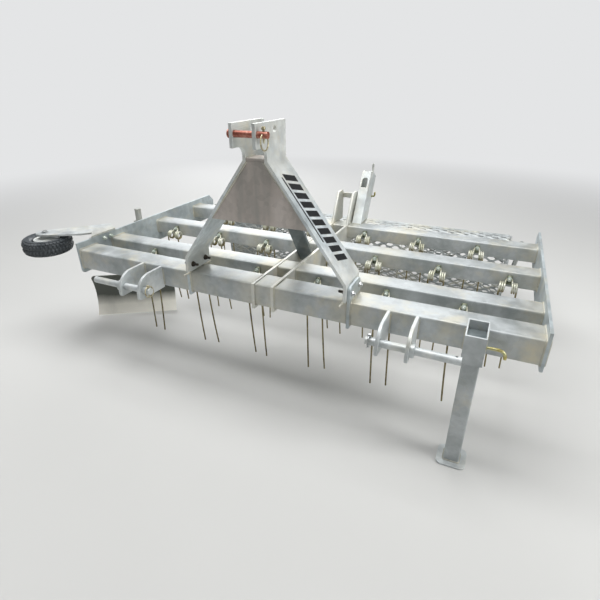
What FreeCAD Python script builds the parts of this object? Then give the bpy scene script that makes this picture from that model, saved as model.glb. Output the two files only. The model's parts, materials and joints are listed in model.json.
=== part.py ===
import FreeCAD, Part
import math
import os

import Sketcher

# Arena harrow for a three-point linkage: a flat frame of box tubes carries rows of spring
# tines, a mesh roller behind, a headstock, a parking stand, an edge blade and a guide wheel.
# Millimetres. X runs across the frame, Y from front to rear, Z up from the ground.
# In the sizes below X = 0 is the frame's middle plane and Y = 0 the front beam's front face.

SIZES = {
    # frame of box tubes
    "frame_width": 2000,          # between the inner faces of the side plates
    "tube_top": 545,              # height of every tube's upper face
    "tube_wall": 5,
    "front_depth": 110,           # front beam, along Y
    "front_height": 95,
    "tine_beam_depth": 92,
    "tine_beam_height": 70,
    "first_setback": 199,         # front beam's face to the first tine beam's face
    "beam_pitch": 342,
    "tube_overhang": 4,           # tube ends standing out of the side plates
    "weld_gap": 0.3,              # left all round where a tube or plate is let in
    # side plates
    "side_thick": 10,
    "side_drop": 118,             # lower edge below the tube tops
    "side_rise": 32,              # upper edge above the tube tops
    "side_length": 1110,
    "side_lead": 6,               # plate in front of the front beam
    "side_corner": 40,
    "side_round": 14,             # lower front corner
    # centre ribs with the mast posts at their rear end
    "rib_gap": 74,                # clear width between the two ribs
    "rib_thick": 12,
    "rib_lead": 7,
    "rib_drop": 12,               # below the front beam
    "rib_crown": 3,               # above the tube tops
    "rib_tail": 12,               # behind the rear tine beam
    "tail_drop": 8,               # lower edge of the post's overhang, below the tube tops
    "post_height": 160,
    "post_foot": 885,             # front foot of the post, along Y
    "post_lean": 89,
    "post_top_depth": 76,
    "post_round": 22,
    "bridge_height": 28,
    "bridge_thick": 8,
    "bridge_drop": 16,            # below the posts' tops
    "bridge_inset": 2,            # ahead of the posts' rear edges
    # headstock
    "ear_offset": 351,            # inner face of an ear from the middle plane
    "ear_thick": 12,
    "ear_rise": 62,
    "ear_wrap": 8,                # ear material in front of and behind the beam
    "arm_thick": 12,
    "arm_foot_lift": 4,
    "lower_bend_rise": 71,         # of the arms, above the tube tops, as every rise below
    "upper_bend_rise": 474,
    "arm_top_rise": 600,
    "arm_front": 20,              # arm's front edge ahead of the beam face, at its foot
    "arm_neck": 12,               # and under the nose
    "arm_rear": 132,
    "nose_reach": 86,
    "nose_depth": 78,
    "throat_radius": 34,
    "top_link_radius": 11.5,      # hole for the top link pin
    "top_link_front": 70,
    "top_link_rise": 566,
    "spare_hole_rear": 48,
    "spare_hole_rise": 575,
    "gusset_rise": 250,
    "gusset_rear": -5,
    "gusset_thick": 6,
    "cross_rise": 473,
    "cross_thick": 10,
    "cross_front": 12,
    "cross_rear": 62,
    "stay_top_rear": 84,
    "stay_top_rise": 463,
    "stay_foot_rear": 440,
    "stay_foot_drop": 55,
    "stay_run": 17,
    # lower link brackets and pins
    "link_inner": 499,            # inner face of the inner plate
    "link_spread": 100,
    "link_thick": 12,
    "link_reach": 158,
    "link_drop": 4,
    "link_round": 77,             # upper front corner of each plate
    "link_corner": 12,            # its lower front corner
    "link_pin_front": 126,
    "link_pin_drop": 61,
    "link_pin_radius": 14,
    "link_pin_start": 462,
    "link_pin_end": 770,
    "link_pin_play": 0.1,
    "collar_radius": 25,
    "collar_length": 14,
    "top_pin_radius": 11,
    "top_pin_left": 55,           # inner face of the pin's head from the middle plane
    "top_pin_length": 142,
    "top_pin_head": 14,
    "top_head_thick": 4,
    "linch_radius": 4,
    "linch_length": 52,
    "linch_ring": 23,
    "linch_wire": 2.5,
    # parking stand
    "stand_offset": 798,
    "sleeve_side": 68,
    "sleeve_wall": 4,
    "sleeve_drop": 105,
    "sleeve_rear_rise": 30,
    "leg_side": 56,
    "leg_play": 0.8,
    "leg_top_drop": 3,
    "foot_side": 104,
    "foot_thick": 8,
    "foot_corner": 22,
    "stand_pin_drop": 47,
    "stand_pin_radius": 6,
    "stand_pin_out": 66,
    "stand_pin_bend": 31,
    "stand_handle_radius": 5,
    # spring tines
    "tine_margin": 130,           # outermost tine to the side plate
    "tine_steps": 3,
    "tine_middle_offset": 96,
    "tine_shift_front": 14,       # how far each row is set off to the right
    "tine_shift_middle": 17,
    "tine_shift_rear": 8,
    "wire_radius": 4,
    "wire_bite": 0.5,             # the leg's wire lies this far inside the coil's skin
    "coil_radius": 25,
    "coil_bore": 16,
    "coil_length": 26,
    "coil_spread": 50,
    "coil_drop": 61,
    "coil_lead": 26,              # coil centre ahead of the tube face
    "tine_tip": 75,
    "tine_rake": 5,               # legs lean back towards their tips, in degrees
    "clamp_width": 36,
    "clamp_height": 52,
    "clamp_thick": 7,
    "clamp_drop": 11,
    # roller and its frame
    "roller_radius": 226,
    "roller_rear": 1350,
    "roller_gap": 100,            # between the roller's end and the side plate
    "roller_skin": 5,
    "roller_end_thick": 8,
    "roller_shaft": 20,
    "shaft_play": 0.1,
    "pivot_rear": 1025,
    "pivot_drop": 50,
    "pivot_radius": 20,
    "cross_tube_radius": 30,
    "cross_tube_wall": 5,
    "cross_play": 2,              # between the cross tube's end and the side plate
    "stub_length": 60,
    "roller_arm_gap": 74,         # between an arm's inner face and the side plate
    "roller_arm_thick": 12,
    "roller_arm_radius": 38,
    "bearing_radius": 42,
    "bearing_length": 22,
    # adjuster at the rear of the centre ribs
    "guide_gap": 10,              # between the right rib and the guide
    "guide_width": 50,
    "guide_wall": 6,
    "guide_foot": 934,
    "guide_depth": 132,
    "guide_lean": 148,
    "guide_height": 262,
    "guide_horn": 40,
    "guide_step": 222,
    "grip_radius": 17,
    "grip_height": 215,           # centre of the hand hole's round top
    "grip_drop": 33,              # straight part of the hand hole below it
    "lever_gap": 6,               # between the lever and the guide's right flange
    "lever_width": 44,
    "lever_thick": 12,
    "lever_height": 232,
    "lever_rod": 6,
    "lever_rod_length": 70,
    "lock_pin_radius": 6,
    "lock_pin_height": 118,
    "lock_pin_length": 30,
    "lock_pin_bend": 26,          # its end turned up
    "lock_bend_radius": 5,
    # edge blade
    "blade_out": 56,              # blade's middle outside the left side plate
    "blade_rear": 337,
    "blade_length": 452,
    "blade_angle": 31.8,
    "blade_low": 22,
    "blade_height": 250,
    "blade_thick": 6,
    "blade_sag": 42,
    "shank_out": 38,
    "shank_rear": 458,
    "shank_radius": 17,
    "shank_top_rise": 84,
    "shank_sleeve_side": 44,
    "shank_sleeve_drop": 105,
    "shank_sleeve_rise": 17,
    "shank_play": 0.5,
    "lug_thick": 10,
    "lug_spread": 80,             # between the facing sides of the two lugs, less one lug
    "lug_radius": 30,
    # guide wheel
    "wheel_out": 256,
    "wheel_setback": 34,          # wheel centre behind the front beam's face
    "wheel_drop": 17,             # wheel centre below the tube tops
    "wheel_radius": 117,
    "wheel_width": 78,
    "tyre_round": 32,
    "rim_radius": 58,
    "rim_width": 56,
    "rim_wall": 5,
    "web_thick": 5,
    "hub_length": 78,
    "hub_radius": 18,
    "axle_radius": 8,
    "axle_play": 0.1,
    "axle_below": 12,             # axle standing out under the hub
    "axle_above": 8,              # and over the arm
    "wheel_arm_thick": 10,
    "wheel_arm_radius": 42,       # round end over the axle
    "wheel_arm_lap": 7,           # part of the arm that rests on the side plate's edge
    "arm_tail_out": 76,           # rear corner, outside the side plate
    "arm_tail_rear": 288,
    "arm_notch_out": 42,
    "arm_notch_rear": 131,
    "arm_heel_out": 77,
    "arm_heel_rear": 91,
    "bracket_thick": 10,
    "bracket_front": 85,
    "bracket_rear": 238,
    "bracket_drop": 38,           # below the tube tops, between the two tube ends
    "bracket_clear": 1,           # from the tube ends
}

doc = FreeCAD.newDocument("ArenaHarrow")
sheet = doc.addObject("Spreadsheet::Sheet", "Sizes")
for row, (alias, number) in enumerate(SIZES.items(), start=1):
    sheet.set(f"A{row}", alias.replace("_", " "))
    sheet.set(f"B{row}", str(number))
    sheet.setAlias(f"B{row}", alias)
doc.recompute()


class Size:
    """A length that keeps its number together with the sheet expression that gives it."""

    def __init__(self, text, value):
        self.text = text
        self.value = value

    def join(self, sign, other, value):
        return Size(f"({self.text} {sign} {other.text})", value)

    def __add__(self, other):
        other = as_size(other)
        return self.join("+", other, self.value + other.value)

    def __sub__(self, other):
        other = as_size(other)
        return self.join("-", other, self.value - other.value)

    def __mul__(self, other):
        other = as_size(other)
        return self.join("*", other, self.value * other.value)

    def __truediv__(self, other):
        other = as_size(other)
        return self.join("/", other, self.value / other.value)

    def __radd__(self, other):
        return as_size(other) + self

    def __rsub__(self, other):
        return as_size(other) - self

    def __rmul__(self, other):
        return as_size(other) * self

    def __neg__(self):
        return as_size(0) - self


def as_size(number):
    return number if isinstance(number, Size) else Size(str(number), float(number))


def root(size):
    return Size(f"sqrt({size.text})", math.sqrt(size.value))


def sine(degrees):
    return Size(f"sin({degrees.text})", math.sin(math.radians(degrees.value)))


def cosine(degrees):
    return Size(f"cos({degrees.text})", math.cos(math.radians(degrees.value)))


class SheetSizes:
    """Reads an alias of the sheet as a Size, so that sums of sizes stay bound to it."""

    def __getattr__(self, alias):
        return Size(f"Sizes.{alias}", SIZES[alias])


s = SheetSizes()

# Heights and offsets that follow the frame's own size.
arm_lower_bend = s.tube_top + s.lower_bend_rise
arm_upper_bend = s.tube_top + s.upper_bend_rise
arm_top = s.tube_top + s.arm_top_rise
top_link_height = s.tube_top + s.top_link_rise
spare_hole_height = s.tube_top + s.spare_hole_rise
gusset_low = s.tube_top + s.gusset_rise
cross_height = s.tube_top + s.cross_rise
gusset_high = cross_height - s.weld_gap
stay_top_height = s.tube_top + s.stay_top_rise
stay_foot_height = s.tube_top - s.stay_foot_drop
link_pin_height = s.tube_top - s.link_pin_drop
leg_top = s.tube_top - s.leg_top_drop
stand_pin_height = s.tube_top - s.stand_pin_drop
clamp_top = s.tube_top - s.clamp_drop
pivot_height = s.tube_top - s.pivot_drop
shank_top = s.tube_top + s.shank_top_rise
shank_sleeve_low = s.tube_top - s.shank_sleeve_drop
shank_sleeve_high = s.tube_top + s.shank_sleeve_rise
wheel_height = s.tube_top - s.wheel_drop
wheel_arm_low = s.tube_top + s.side_rise + s.weld_gap
side_outside = s.frame_width / 2 + s.side_thick
blade_offset = side_outside + s.blade_out
shank_offset = side_outside + s.shank_out
wheel_offset = side_outside + s.wheel_out
roller_half = s.frame_width / 2 - s.roller_gap
roller_arm_offset = s.frame_width / 2 - s.roller_arm_gap
tine_pitch = (s.frame_width / 2 - s.tine_margin) / s.tine_steps

# The origin lies on the ground under the middle of the harrow's box.
box_left = wheel_offset + s.wheel_radius
box_right = side_outside + s.tube_overhang
box_front = s.link_reach
box_rear = s.roller_rear + s.roller_radius
middle_x = (box_right - box_left) / 2
middle_y = (box_rear - box_front) / 2

nodes = {}


def bind(item, name, size):
    item.setExpression(name, as_size(size).text)


def place(item, x=0, y=0, z=0):
    """Bind the base point of a construction piece, in the frame of the sizes."""
    bind(item, "Placement.Base.x", x)
    bind(item, "Placement.Base.y", y)
    bind(item, "Placement.Base.z", z)
    return item


def node(name, item, x=0, y=0, z=0):
    """Name a finished sub-part and place it in the frame of the part."""
    item.Label = name
    place(item, x - middle_x, y - middle_y, z)
    nodes[name] = item
    return item


# --- sketches -----------------------------------------------------------------------------

def pin_point(sketch, edge, end, u, v):
    """Dimension one point of a sketch from the sketch's origin."""
    for kind, size in (("DistanceX", as_size(u)), ("DistanceY", as_size(v))):
        index = sketch.addConstraint(Sketcher.Constraint(kind, -1, 1, edge, end, size.value))
        sketch.setExpression(f"Constraints[{index}]", size.text)


def outline(sketch, corners):
    """Closed outline through corners (u, v). A third entry rounds the edge that arrives there:
    the arc's radius, positive when the arc turns left along the outline, negative when right."""
    points = [(as_size(c[0]), as_size(c[1])) for c in corners]
    ends = []
    for i, corner in enumerate(corners):
        (u0, v0), (u1, v1) = points[i - 1], points[i]
        start = FreeCAD.Vector(u0.value, v0.value, 0)
        stop = FreeCAD.Vector(u1.value, v1.value, 0)
        if len(corner) == 2:
            edge = sketch.addGeometry(Part.LineSegment(start, stop), False)
            ends.append((edge, 1, 2))
            continue
        radius = as_size(corner[2])
        chord = stop - start
        lift = math.sqrt(max(radius.value ** 2 - chord.Length ** 2 / 4, 0))
        side = FreeCAD.Vector(-chord.y, chord.x, 0).normalize()
        turn = 1 if radius.value > 0 else -1
        centre = (start + stop) / 2 + side * lift * turn
        first, last = (start, stop) if turn > 0 else (stop, start)
        angles = [math.atan2(p.y - centre.y, p.x - centre.x) for p in (first, last)]
        circle = Part.Circle(centre, FreeCAD.Vector(0, 0, 1), abs(radius.value))
        edge = sketch.addGeometry(Part.ArcOfCircle(circle, *angles), False)
        ends.append((edge, 1, 2) if turn > 0 else (edge, 2, 1))
        index = sketch.addConstraint(Sketcher.Constraint("Radius", edge, abs(radius.value)))
        sketch.setExpression(f"Constraints[{index}]", f"abs({radius.text})")
    for i, (edge, first, last) in enumerate(ends):
        following, its_first, its_last = ends[(i + 1) % len(ends)]
        sketch.addConstraint(Sketcher.Constraint("Coincident", edge, last, following, its_first))
        pin_point(sketch, edge, last, *points[i])


def rectangle(sketch, u0, v0, u1, v1):
    outline(sketch, [(u0, v0), (u1, v0), (u1, v1), (u0, v1)])


def round_hole(sketch, u, v, radius):
    u, v, radius = as_size(u), as_size(v), as_size(radius)
    circle = Part.Circle(FreeCAD.Vector(u.value, v.value, 0), FreeCAD.Vector(0, 0, 1), radius.value)
    edge = sketch.addGeometry(circle, False)
    pin_point(sketch, edge, 3, u, v)
    index = sketch.addConstraint(Sketcher.Constraint("Radius", edge, radius.value))
    sketch.setExpression(f"Constraints[{index}]", radius.text)


def padded(name, plane, thickness, draw):
    """A body with one sketch on an origin plane, drawn by draw(sketch), and one pad.
    The pad grows towards +X from YZ, towards -Y from XZ and towards +Z from XY."""
    body = doc.addObject("PartDesign::Body", name + "_body")
    sketch = body.newObject("Sketcher::SketchObject", name + "_sketch")
    support = [f for f in body.Origin.OriginFeatures if f.Role == plane + "_Plane"][0]
    sketch.AttachmentSupport = [(support, "")]
    sketch.MapMode = "FlatFace"
    draw(sketch)
    pad = body.newObject("PartDesign::Pad", name + "_pad")
    pad.Profile = sketch
    bind(pad, "Length", thickness)
    sketch.Visibility = False
    return body


# --- primitives -----------------------------------------------------------------------------

TURNS = {
    "X": FreeCAD.Rotation(FreeCAD.Vector(0, 1, 0), 90),
    "Y": FreeCAD.Rotation(FreeCAD.Vector(1, 0, 0), -90),
    "Z": FreeCAD.Rotation(),
}


def cuboid(name, x, y, z, length, width, height):
    box = doc.addObject("Part::Box", name)
    bind(box, "Length", length)
    bind(box, "Width", width)
    bind(box, "Height", height)
    return place(box, x, y, z)


def rod(name, axis, x, y, z, radius, length):
    """A cylinder that starts at its base point and runs along one axis."""
    cylinder = doc.addObject("Part::Cylinder", name)
    cylinder.Placement = FreeCAD.Placement(FreeCAD.Vector(), TURNS[axis])
    bind(cylinder, "Radius", radius)
    bind(cylinder, "Height", length)
    return place(cylinder, x, y, z)


def ring(name, axis, x, y, z, radius, wire):
    torus = doc.addObject("Part::Torus", name)
    torus.Placement = FreeCAD.Placement(FreeCAD.Vector(), TURNS[axis])
    bind(torus, "Radius1", radius)
    bind(torus, "Radius2", wire)
    return place(torus, x, y, z)


def cut(name, base, tool):
    item = doc.addObject("Part::Cut", name)
    item.Base = base
    item.Tool = tool
    return item


def fused(name, pieces):
    item = doc.addObject("Part::MultiFuse", name)
    item.Shapes = pieces
    return item


def gathered(name, pieces):
    item = doc.addObject("Part::Compound", name)
    item.Links = pieces
    return item


SIDES = (("left", -1), ("right", 1))


def slab_start(side, inner, thickness):
    """X of the lower face of a slab whose inner face lies at inner on either side."""
    return inner if side > 0 else -(inner + thickness)


# --- box tubes --------------------------------------------------------------------------------

rear_beam_front = s.first_setback + 2 * s.beam_pitch
TUBES = {
    "front_beam": (as_size(0), s.front_depth, s.front_height),
    "tine_beam_front": (s.first_setback, s.tine_beam_depth, s.tine_beam_height),
    "tine_beam_middle": (s.first_setback + s.beam_pitch, s.tine_beam_depth, s.tine_beam_height),
    "tine_beam_rear": (rear_beam_front, s.tine_beam_depth, s.tine_beam_height),
}
tube_half = box_right


def box_tube(name, front, depth, height):
    outer = cuboid(name + "_outer", -tube_half, front, s.tube_top - height,
                   2 * tube_half, depth, height)
    inner = cuboid(name + "_inner", -tube_half - 1, front + s.tube_wall,
                   s.tube_top - height + s.tube_wall, 2 * tube_half + 2,
                   depth - 2 * s.tube_wall, height - 2 * s.tube_wall)
    node(name, cut(name, outer, inner))


for name, (front, depth, height) in TUBES.items():
    box_tube(name, front, depth, height)


def tube_windows(sketch):
    """The openings that let the four tubes pass through an upright plate."""
    for front, depth, height in TUBES.values():
        rectangle(sketch, front - s.weld_gap, s.tube_top - height - s.weld_gap,
                  front + depth + s.weld_gap, s.tube_top + s.weld_gap)


# --- side plates ------------------------------------------------------------------------------

def side_plate(sketch):
    low = s.tube_top - s.side_drop
    high = s.tube_top + s.side_rise
    rear = s.side_length
    corner = s.side_corner
    outline(sketch, [(s.side_round - s.side_lead, low, s.side_round), (rear, low),
                     (rear, high - corner), (rear - corner, high), (-s.side_lead, high),
                     (-s.side_lead, low + s.side_round)])
    tube_windows(sketch)
    round_hole(sketch, s.pivot_rear, pivot_height, s.pivot_radius + s.shaft_play)


for word, side in SIDES:
    body = padded(f"side_plate_{word}", "YZ", s.side_thick, side_plate)
    node(f"side_plate_{word}", body, x=slab_start(side, s.frame_width / 2, s.side_thick))


# --- centre ribs, whose rear ends rise as the posts of the adjuster ---------------------------

post_top = s.tube_top + s.post_height
post_rear = s.post_foot + s.post_lean + s.post_top_depth


def centre_rib(sketch):
    low = s.tube_top - s.front_height - s.rib_drop
    high = s.tube_top + s.rib_crown
    tail = rear_beam_front + s.tine_beam_depth + s.rib_tail
    outline(sketch, [(-s.rib_lead, low), (tail, low), (tail, s.tube_top - s.tail_drop),
                     (post_rear, s.tube_top - s.tail_drop),
                     (post_rear, post_top - s.post_round),
                     (post_rear - s.post_round, post_top, s.post_round),
                     (s.post_foot + s.post_lean, post_top), (s.post_foot, high),
                     (-s.rib_lead, high)])
    tube_windows(sketch)


for word, side in SIDES:
    body = padded(f"centre_rib_{word}", "YZ", s.rib_thick, centre_rib)
    node(f"centre_rib_{word}", body, x=slab_start(side, s.rib_gap / 2, s.rib_thick))

seat = s.weld_gap
bridge = cuboid("post_bridge", 0, 0, 0, s.rib_gap - 2 * seat, s.bridge_thick, s.bridge_height)
node("post_bridge", bridge, -s.rib_gap / 2 + seat,
     post_rear - s.bridge_inset - s.bridge_thick, post_top - s.bridge_drop - s.bridge_height)


# --- headstock --------------------------------------------------------------------------------

def headstock_ear(sketch):
    low = s.tube_top - s.front_height - s.rib_drop
    high = s.tube_top + s.ear_rise
    rear = s.front_depth + s.ear_wrap
    corner = s.ear_wrap * 3
    outline(sketch, [(-s.ear_wrap, low), (rear, low), (rear, high - corner),
                     (rear - corner, high, corner), (corner - s.ear_wrap, high),
                     (-s.ear_wrap, high - corner, corner)])
    rectangle(sketch, -s.weld_gap, s.tube_top - s.front_height - s.weld_gap,
              s.front_depth + s.weld_gap, s.tube_top + s.weld_gap)


arm_top_face = s.rib_gap / 2 + s.arm_thick     # outer face of an arm above its upper bend
arm_run = s.ear_offset - seat - arm_top_face
arm_climb = arm_upper_bend - arm_lower_bend
arm_slope = root(arm_run * arm_run + arm_climb * arm_climb)
arm_mitre = s.arm_thick * (arm_slope - arm_climb) / arm_run


def arm_profile(side):
    """Front view of an arm: an upright foot, the slope inwards and the upright top plate."""
    foot = s.ear_offset - seat
    low = s.tube_top + s.arm_foot_lift
    corners = [(foot, low), (foot, arm_lower_bend), (arm_top_face, arm_upper_bend),
               (arm_top_face, arm_top), (arm_top_face - s.arm_thick, arm_top),
               (arm_top_face - s.arm_thick, arm_upper_bend - arm_mitre),
               (foot - s.arm_thick, arm_lower_bend - arm_mitre), (foot - s.arm_thick, low)]
    return [(u if side > 0 else -u, v) for u, v in corners]


def arm_side(sketch):
    """Side view of an arm: a front edge that leans back a little as it climbs, under a nose
    that carries the top link forward."""
    low = s.tube_top
    nose_low = arm_top - s.nose_depth
    outline(sketch, [(-s.arm_front, low), (s.arm_rear, low), (s.arm_rear, arm_top),
                     (-s.nose_reach, arm_top), (-s.nose_reach, nose_low),
                     (-s.arm_neck - s.throat_radius, nose_low),
                     (-s.arm_neck, nose_low - s.throat_radius, -s.throat_radius)])
    round_hole(sketch, -s.top_link_front, top_link_height, s.top_link_radius)
    round_hole(sketch, s.spare_hole_rear, spare_hole_height, s.top_link_radius)


for word, side in SIDES:
    body = padded(f"headstock_ear_{word}", "YZ", s.ear_thick, headstock_ear)
    node(f"headstock_ear_{word}", body, x=slab_start(side, s.ear_offset, s.ear_thick))
    name = f"headstock_arm_{word}"
    bent = padded(name + "_bent", "XZ", s.nose_reach + s.arm_rear + 2,
                  lambda sketch, side=side: outline(sketch, arm_profile(side)))
    place(bent, 0, s.arm_rear + 1, 0)
    broad = padded(name + "_broad", "YZ", 2 * s.ear_offset, arm_side)
    place(broad, -s.ear_offset, 0, 0)
    common = doc.addObject("Part::Common", name)
    common.Base = bent
    common.Tool = broad
    node(name, common)


def arm_inside(height):
    """Half of the clear width between the sloping parts of the arms."""
    return arm_top_face - s.arm_thick + (arm_upper_bend - arm_mitre - height) * arm_run / arm_climb


def gusset(sketch):
    lower = arm_inside(gusset_low) - seat
    upper = arm_inside(gusset_high) - seat
    outline(sketch, [(-lower, gusset_low), (lower, gusset_low),
                     (upper, gusset_high), (-upper, gusset_high)])


node("headstock_gusset", padded("headstock_gusset", "XZ", s.gusset_thick, gusset),
     y=s.gusset_rear)

inside = s.rib_gap - 2 * seat
node("headstock_crosspiece",
     cuboid("headstock_crosspiece", 0, 0, 0, inside, s.cross_front + s.cross_rear, s.cross_thick),
     -inside / 2, -s.cross_front, cross_height)


def stay(sketch):
    outline(sketch, [(s.stay_foot_rear, stay_foot_height),
                     (s.stay_foot_rear + s.stay_run, stay_foot_height),
                     (s.stay_top_rear + s.stay_run, stay_top_height),
                     (s.stay_top_rear, stay_top_height)])


node("headstock_stay", padded("headstock_stay", "YZ", inside, stay), x=-inside / 2)


# --- link brackets, link pins and their linchpins ---------------------------------------------

link_low = s.tube_top - s.front_height - s.link_drop


def link_plate(sketch):
    outline(sketch, [(-seat, link_low), (-seat, s.tube_top),
                     (-s.link_reach + s.link_round, s.tube_top),
                     (-s.link_reach, s.tube_top - s.link_round, s.link_round),
                     (-s.link_reach, link_low + s.link_corner),
                     (-s.link_reach + s.link_corner, link_low, s.link_corner)])
    round_hole(sketch, -s.link_pin_front, link_pin_height, s.link_pin_radius + s.link_pin_play)


def linchpin(name, axis, x, y, z):
    """A short pin along Z through a link pin's end, with its spring ring closed round it."""
    shank = rod(name + "_shank", "Z", x, y, z - s.linch_length / 2, s.linch_radius, s.linch_length)
    loop = ring(name + "_loop", axis, x, y, z, s.linch_ring, s.linch_wire)
    return fused(name, [shank, loop])


def bored(name, pin, x, y, z):
    """A pin with the cross hole for its linchpin."""
    hole = rod(name + "_cross_hole", "Z", x, y, z - 2 * s.link_pin_radius,
               s.linch_radius + seat, 4 * s.link_pin_radius)
    return cut(name, pin, hole)


for word, side in SIDES:
    for place_word, inner in (("inner", s.link_inner), ("outer", s.link_inner + s.link_spread)):
        name = f"link_plate_{word}_{place_word}"
        body = padded(name, "YZ", s.link_thick, link_plate)
        node(name, body, x=slab_start(side, inner, s.link_thick))
    front = -s.link_pin_front
    height = link_pin_height
    length = s.link_pin_end - s.link_pin_start
    start = s.link_pin_start if side > 0 else -s.link_pin_end
    name = f"lower_link_pin_{word}"
    shaft = rod(name + "_shaft", "X", start, front, height, s.link_pin_radius, length)
    collar_inner = s.link_inner + s.link_spread + s.link_thick + seat
    collar = rod(name + "_collar", "X", slab_start(side, collar_inner, s.collar_length),
                 front, height, s.collar_radius, s.collar_length)
    near = s.link_pin_start + 3 * s.linch_radius
    near = near if side > 0 else -near
    far = s.link_pin_end - 4 * s.linch_radius
    far = far if side > 0 else -far
    drilled = bored(name + "_drilled", fused(name + "_turned", [shaft, collar]),
                    near, front, height)
    node(name, bored(name, drilled, far, front, height))
    node(f"lower_linchpin_{word}", linchpin(f"lower_linchpin_{word}", "X", near, front, height))

top_pin_start = -s.top_pin_left
top_shaft = rod("top_pin_shaft", "X", top_pin_start, -s.top_link_front, top_link_height,
                s.top_pin_radius, s.top_pin_length)
top_head = rod("top_pin_head", "X", top_pin_start - s.top_head_thick, -s.top_link_front,
               top_link_height, s.top_pin_head, s.top_head_thick)
top_linch = top_pin_start + s.top_pin_length - 4 * s.linch_radius
node("top_link_pin", bored("top_link_pin", fused("top_pin_turned", [top_shaft, top_head]),
                           top_linch, -s.top_link_front, top_link_height))
node("top_linchpin", linchpin("top_linchpin", "X", top_linch, -s.top_link_front,
                              top_link_height))


# --- parking stand ----------------------------------------------------------------------------

sleeve_low = s.tube_top - s.sleeve_drop
sleeve_front = -(s.sleeve_side + seat)
stand_centre_y = sleeve_front + s.sleeve_side / 2


def stand_sleeve(sketch):
    outline(sketch, [(sleeve_front, sleeve_low), (-seat, sleeve_low),
                     (-seat, s.tube_top + s.sleeve_rear_rise), (sleeve_front, s.tube_top)])


sleeve_bore = s.leg_side + 2 * s.leg_play
sleeve = padded("stand_sleeve", "YZ", s.sleeve_side, stand_sleeve)
place(sleeve, s.stand_offset - s.sleeve_side / 2, 0, 0)
passage = cuboid("sleeve_passage", s.stand_offset - sleeve_bore / 2,
                 stand_centre_y - sleeve_bore / 2, sleeve_low - 1,
                 sleeve_bore, sleeve_bore, s.sleeve_drop + s.sleeve_rear_rise + 2)
pin_hole = rod("sleeve_pin_hole", "X", s.stand_offset - s.sleeve_side, stand_centre_y,
               stand_pin_height, s.stand_pin_radius + seat, 2 * s.sleeve_side)
node("stand_sleeve", cut("stand_sleeve", cut("sleeve_open", sleeve, passage), pin_hole))

leg = cuboid("leg_outer", s.stand_offset - s.leg_side / 2, stand_centre_y - s.leg_side / 2,
             s.foot_thick + seat, s.leg_side, s.leg_side, leg_top - s.foot_thick - seat)
leg_bore = s.leg_side - 2 * s.sleeve_wall
leg_inner = cuboid("leg_inner", s.stand_offset - leg_bore / 2, stand_centre_y - leg_bore / 2,
                   s.foot_thick - 1, leg_bore, leg_bore,
                   leg_top - s.sleeve_wall - s.foot_thick + 1)
node("stand_leg", cut("stand_leg", leg, leg_inner))


def foot_plate(sketch):
    half = s.foot_side / 2
    corner = s.foot_corner
    x0, x1 = s.stand_offset - half, s.stand_offset + half
    y0, y1 = stand_centre_y - half, stand_centre_y + half
    outline(sketch, [(x0 + corner, y0, corner), (x1 - corner, y0), (x1, y0 + corner, corner),
                     (x1, y1 - corner), (x1 - corner, y1, corner), (x0 + corner, y1),
                     (x0, y1 - corner, corner), (x0, y0 + corner)])


node("stand_foot", padded("stand_foot", "XY", s.foot_thick, foot_plate))

pin_face = s.stand_offset + s.sleeve_side / 2 - s.sleeve_wall
handle_x = pin_face + s.sleeve_wall + s.stand_pin_out
stub = rod("stand_pin_stub", "X", pin_face, stand_centre_y, stand_pin_height,
           s.stand_pin_radius, s.sleeve_wall + s.stand_pin_out)
handle = rod("stand_pin_handle", "Z", handle_x - s.stand_handle_radius, stand_centre_y,
             stand_pin_height - s.stand_pin_bend, s.stand_handle_radius, s.stand_pin_bend)
node("stand_pin", fused("stand_pin", [stub, handle]))


# --- spring tines -----------------------------------------------------------------------------

def tine(name, x, face):
    """A double spring tine: two coils side by side, a leg under each and the clamp between."""
    coil_z = s.tube_top - s.coil_drop
    coil_y = face - s.coil_lead
    drop = coil_z - s.tine_tip
    inset = s.wire_radius + s.wire_bite
    tip_y = coil_y - s.coil_radius + inset + drop * sine(s.tine_rake) / cosine(s.tine_rake)
    pieces = []
    for word, side in SIDES:
        middle = x + side * s.coil_spread / 2
        wound = rod(f"{name}_{word}_coil", "X", middle - s.coil_length / 2, coil_y, coil_z,
                    s.coil_radius, s.coil_length)
        bore = rod(f"{name}_{word}_bore", "X", middle - s.coil_length, coil_y, coil_z,
                   s.coil_bore, 2 * s.coil_length)
        pieces.append(cut(f"{name}_{word}_wound", wound, bore))
        outer = middle + side * (s.coil_length / 2 - inset)
        leg = rod(f"{name}_{word}_leg", "Z", outer, tip_y, s.tine_tip, s.wire_radius,
                  drop / cosine(s.tine_rake))
        leg.Placement.Rotation = FreeCAD.Rotation(FreeCAD.Vector(1, 0, 0), s.tine_rake.value)
        bind(leg, "Placement.Rotation.Angle", s.tine_rake)
        pieces.append(leg)
    pieces.append(rod(f"{name}_link", "X", x - s.coil_spread / 2, coil_y,
                      coil_z + s.coil_radius - inset, s.wire_radius, s.coil_spread))
    pieces.append(cuboid(f"{name}_clamp", x - s.clamp_width / 2, face - seat - s.clamp_thick,
                         clamp_top - s.clamp_height, s.clamp_width, s.clamp_thick,
                         s.clamp_height))
    pieces.append(cuboid(f"{name}_grip", x - s.clamp_width / 4, coil_y,
                         coil_z + s.coil_radius - 3 * s.wire_radius, s.clamp_width / 2,
                         face - seat - coil_y, 4 * s.wire_radius))
    return fused(name, pieces)


def mirrored_row(steps):
    return [side * step * tine_pitch for step in steps for side in (-1, 1)]


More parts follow.
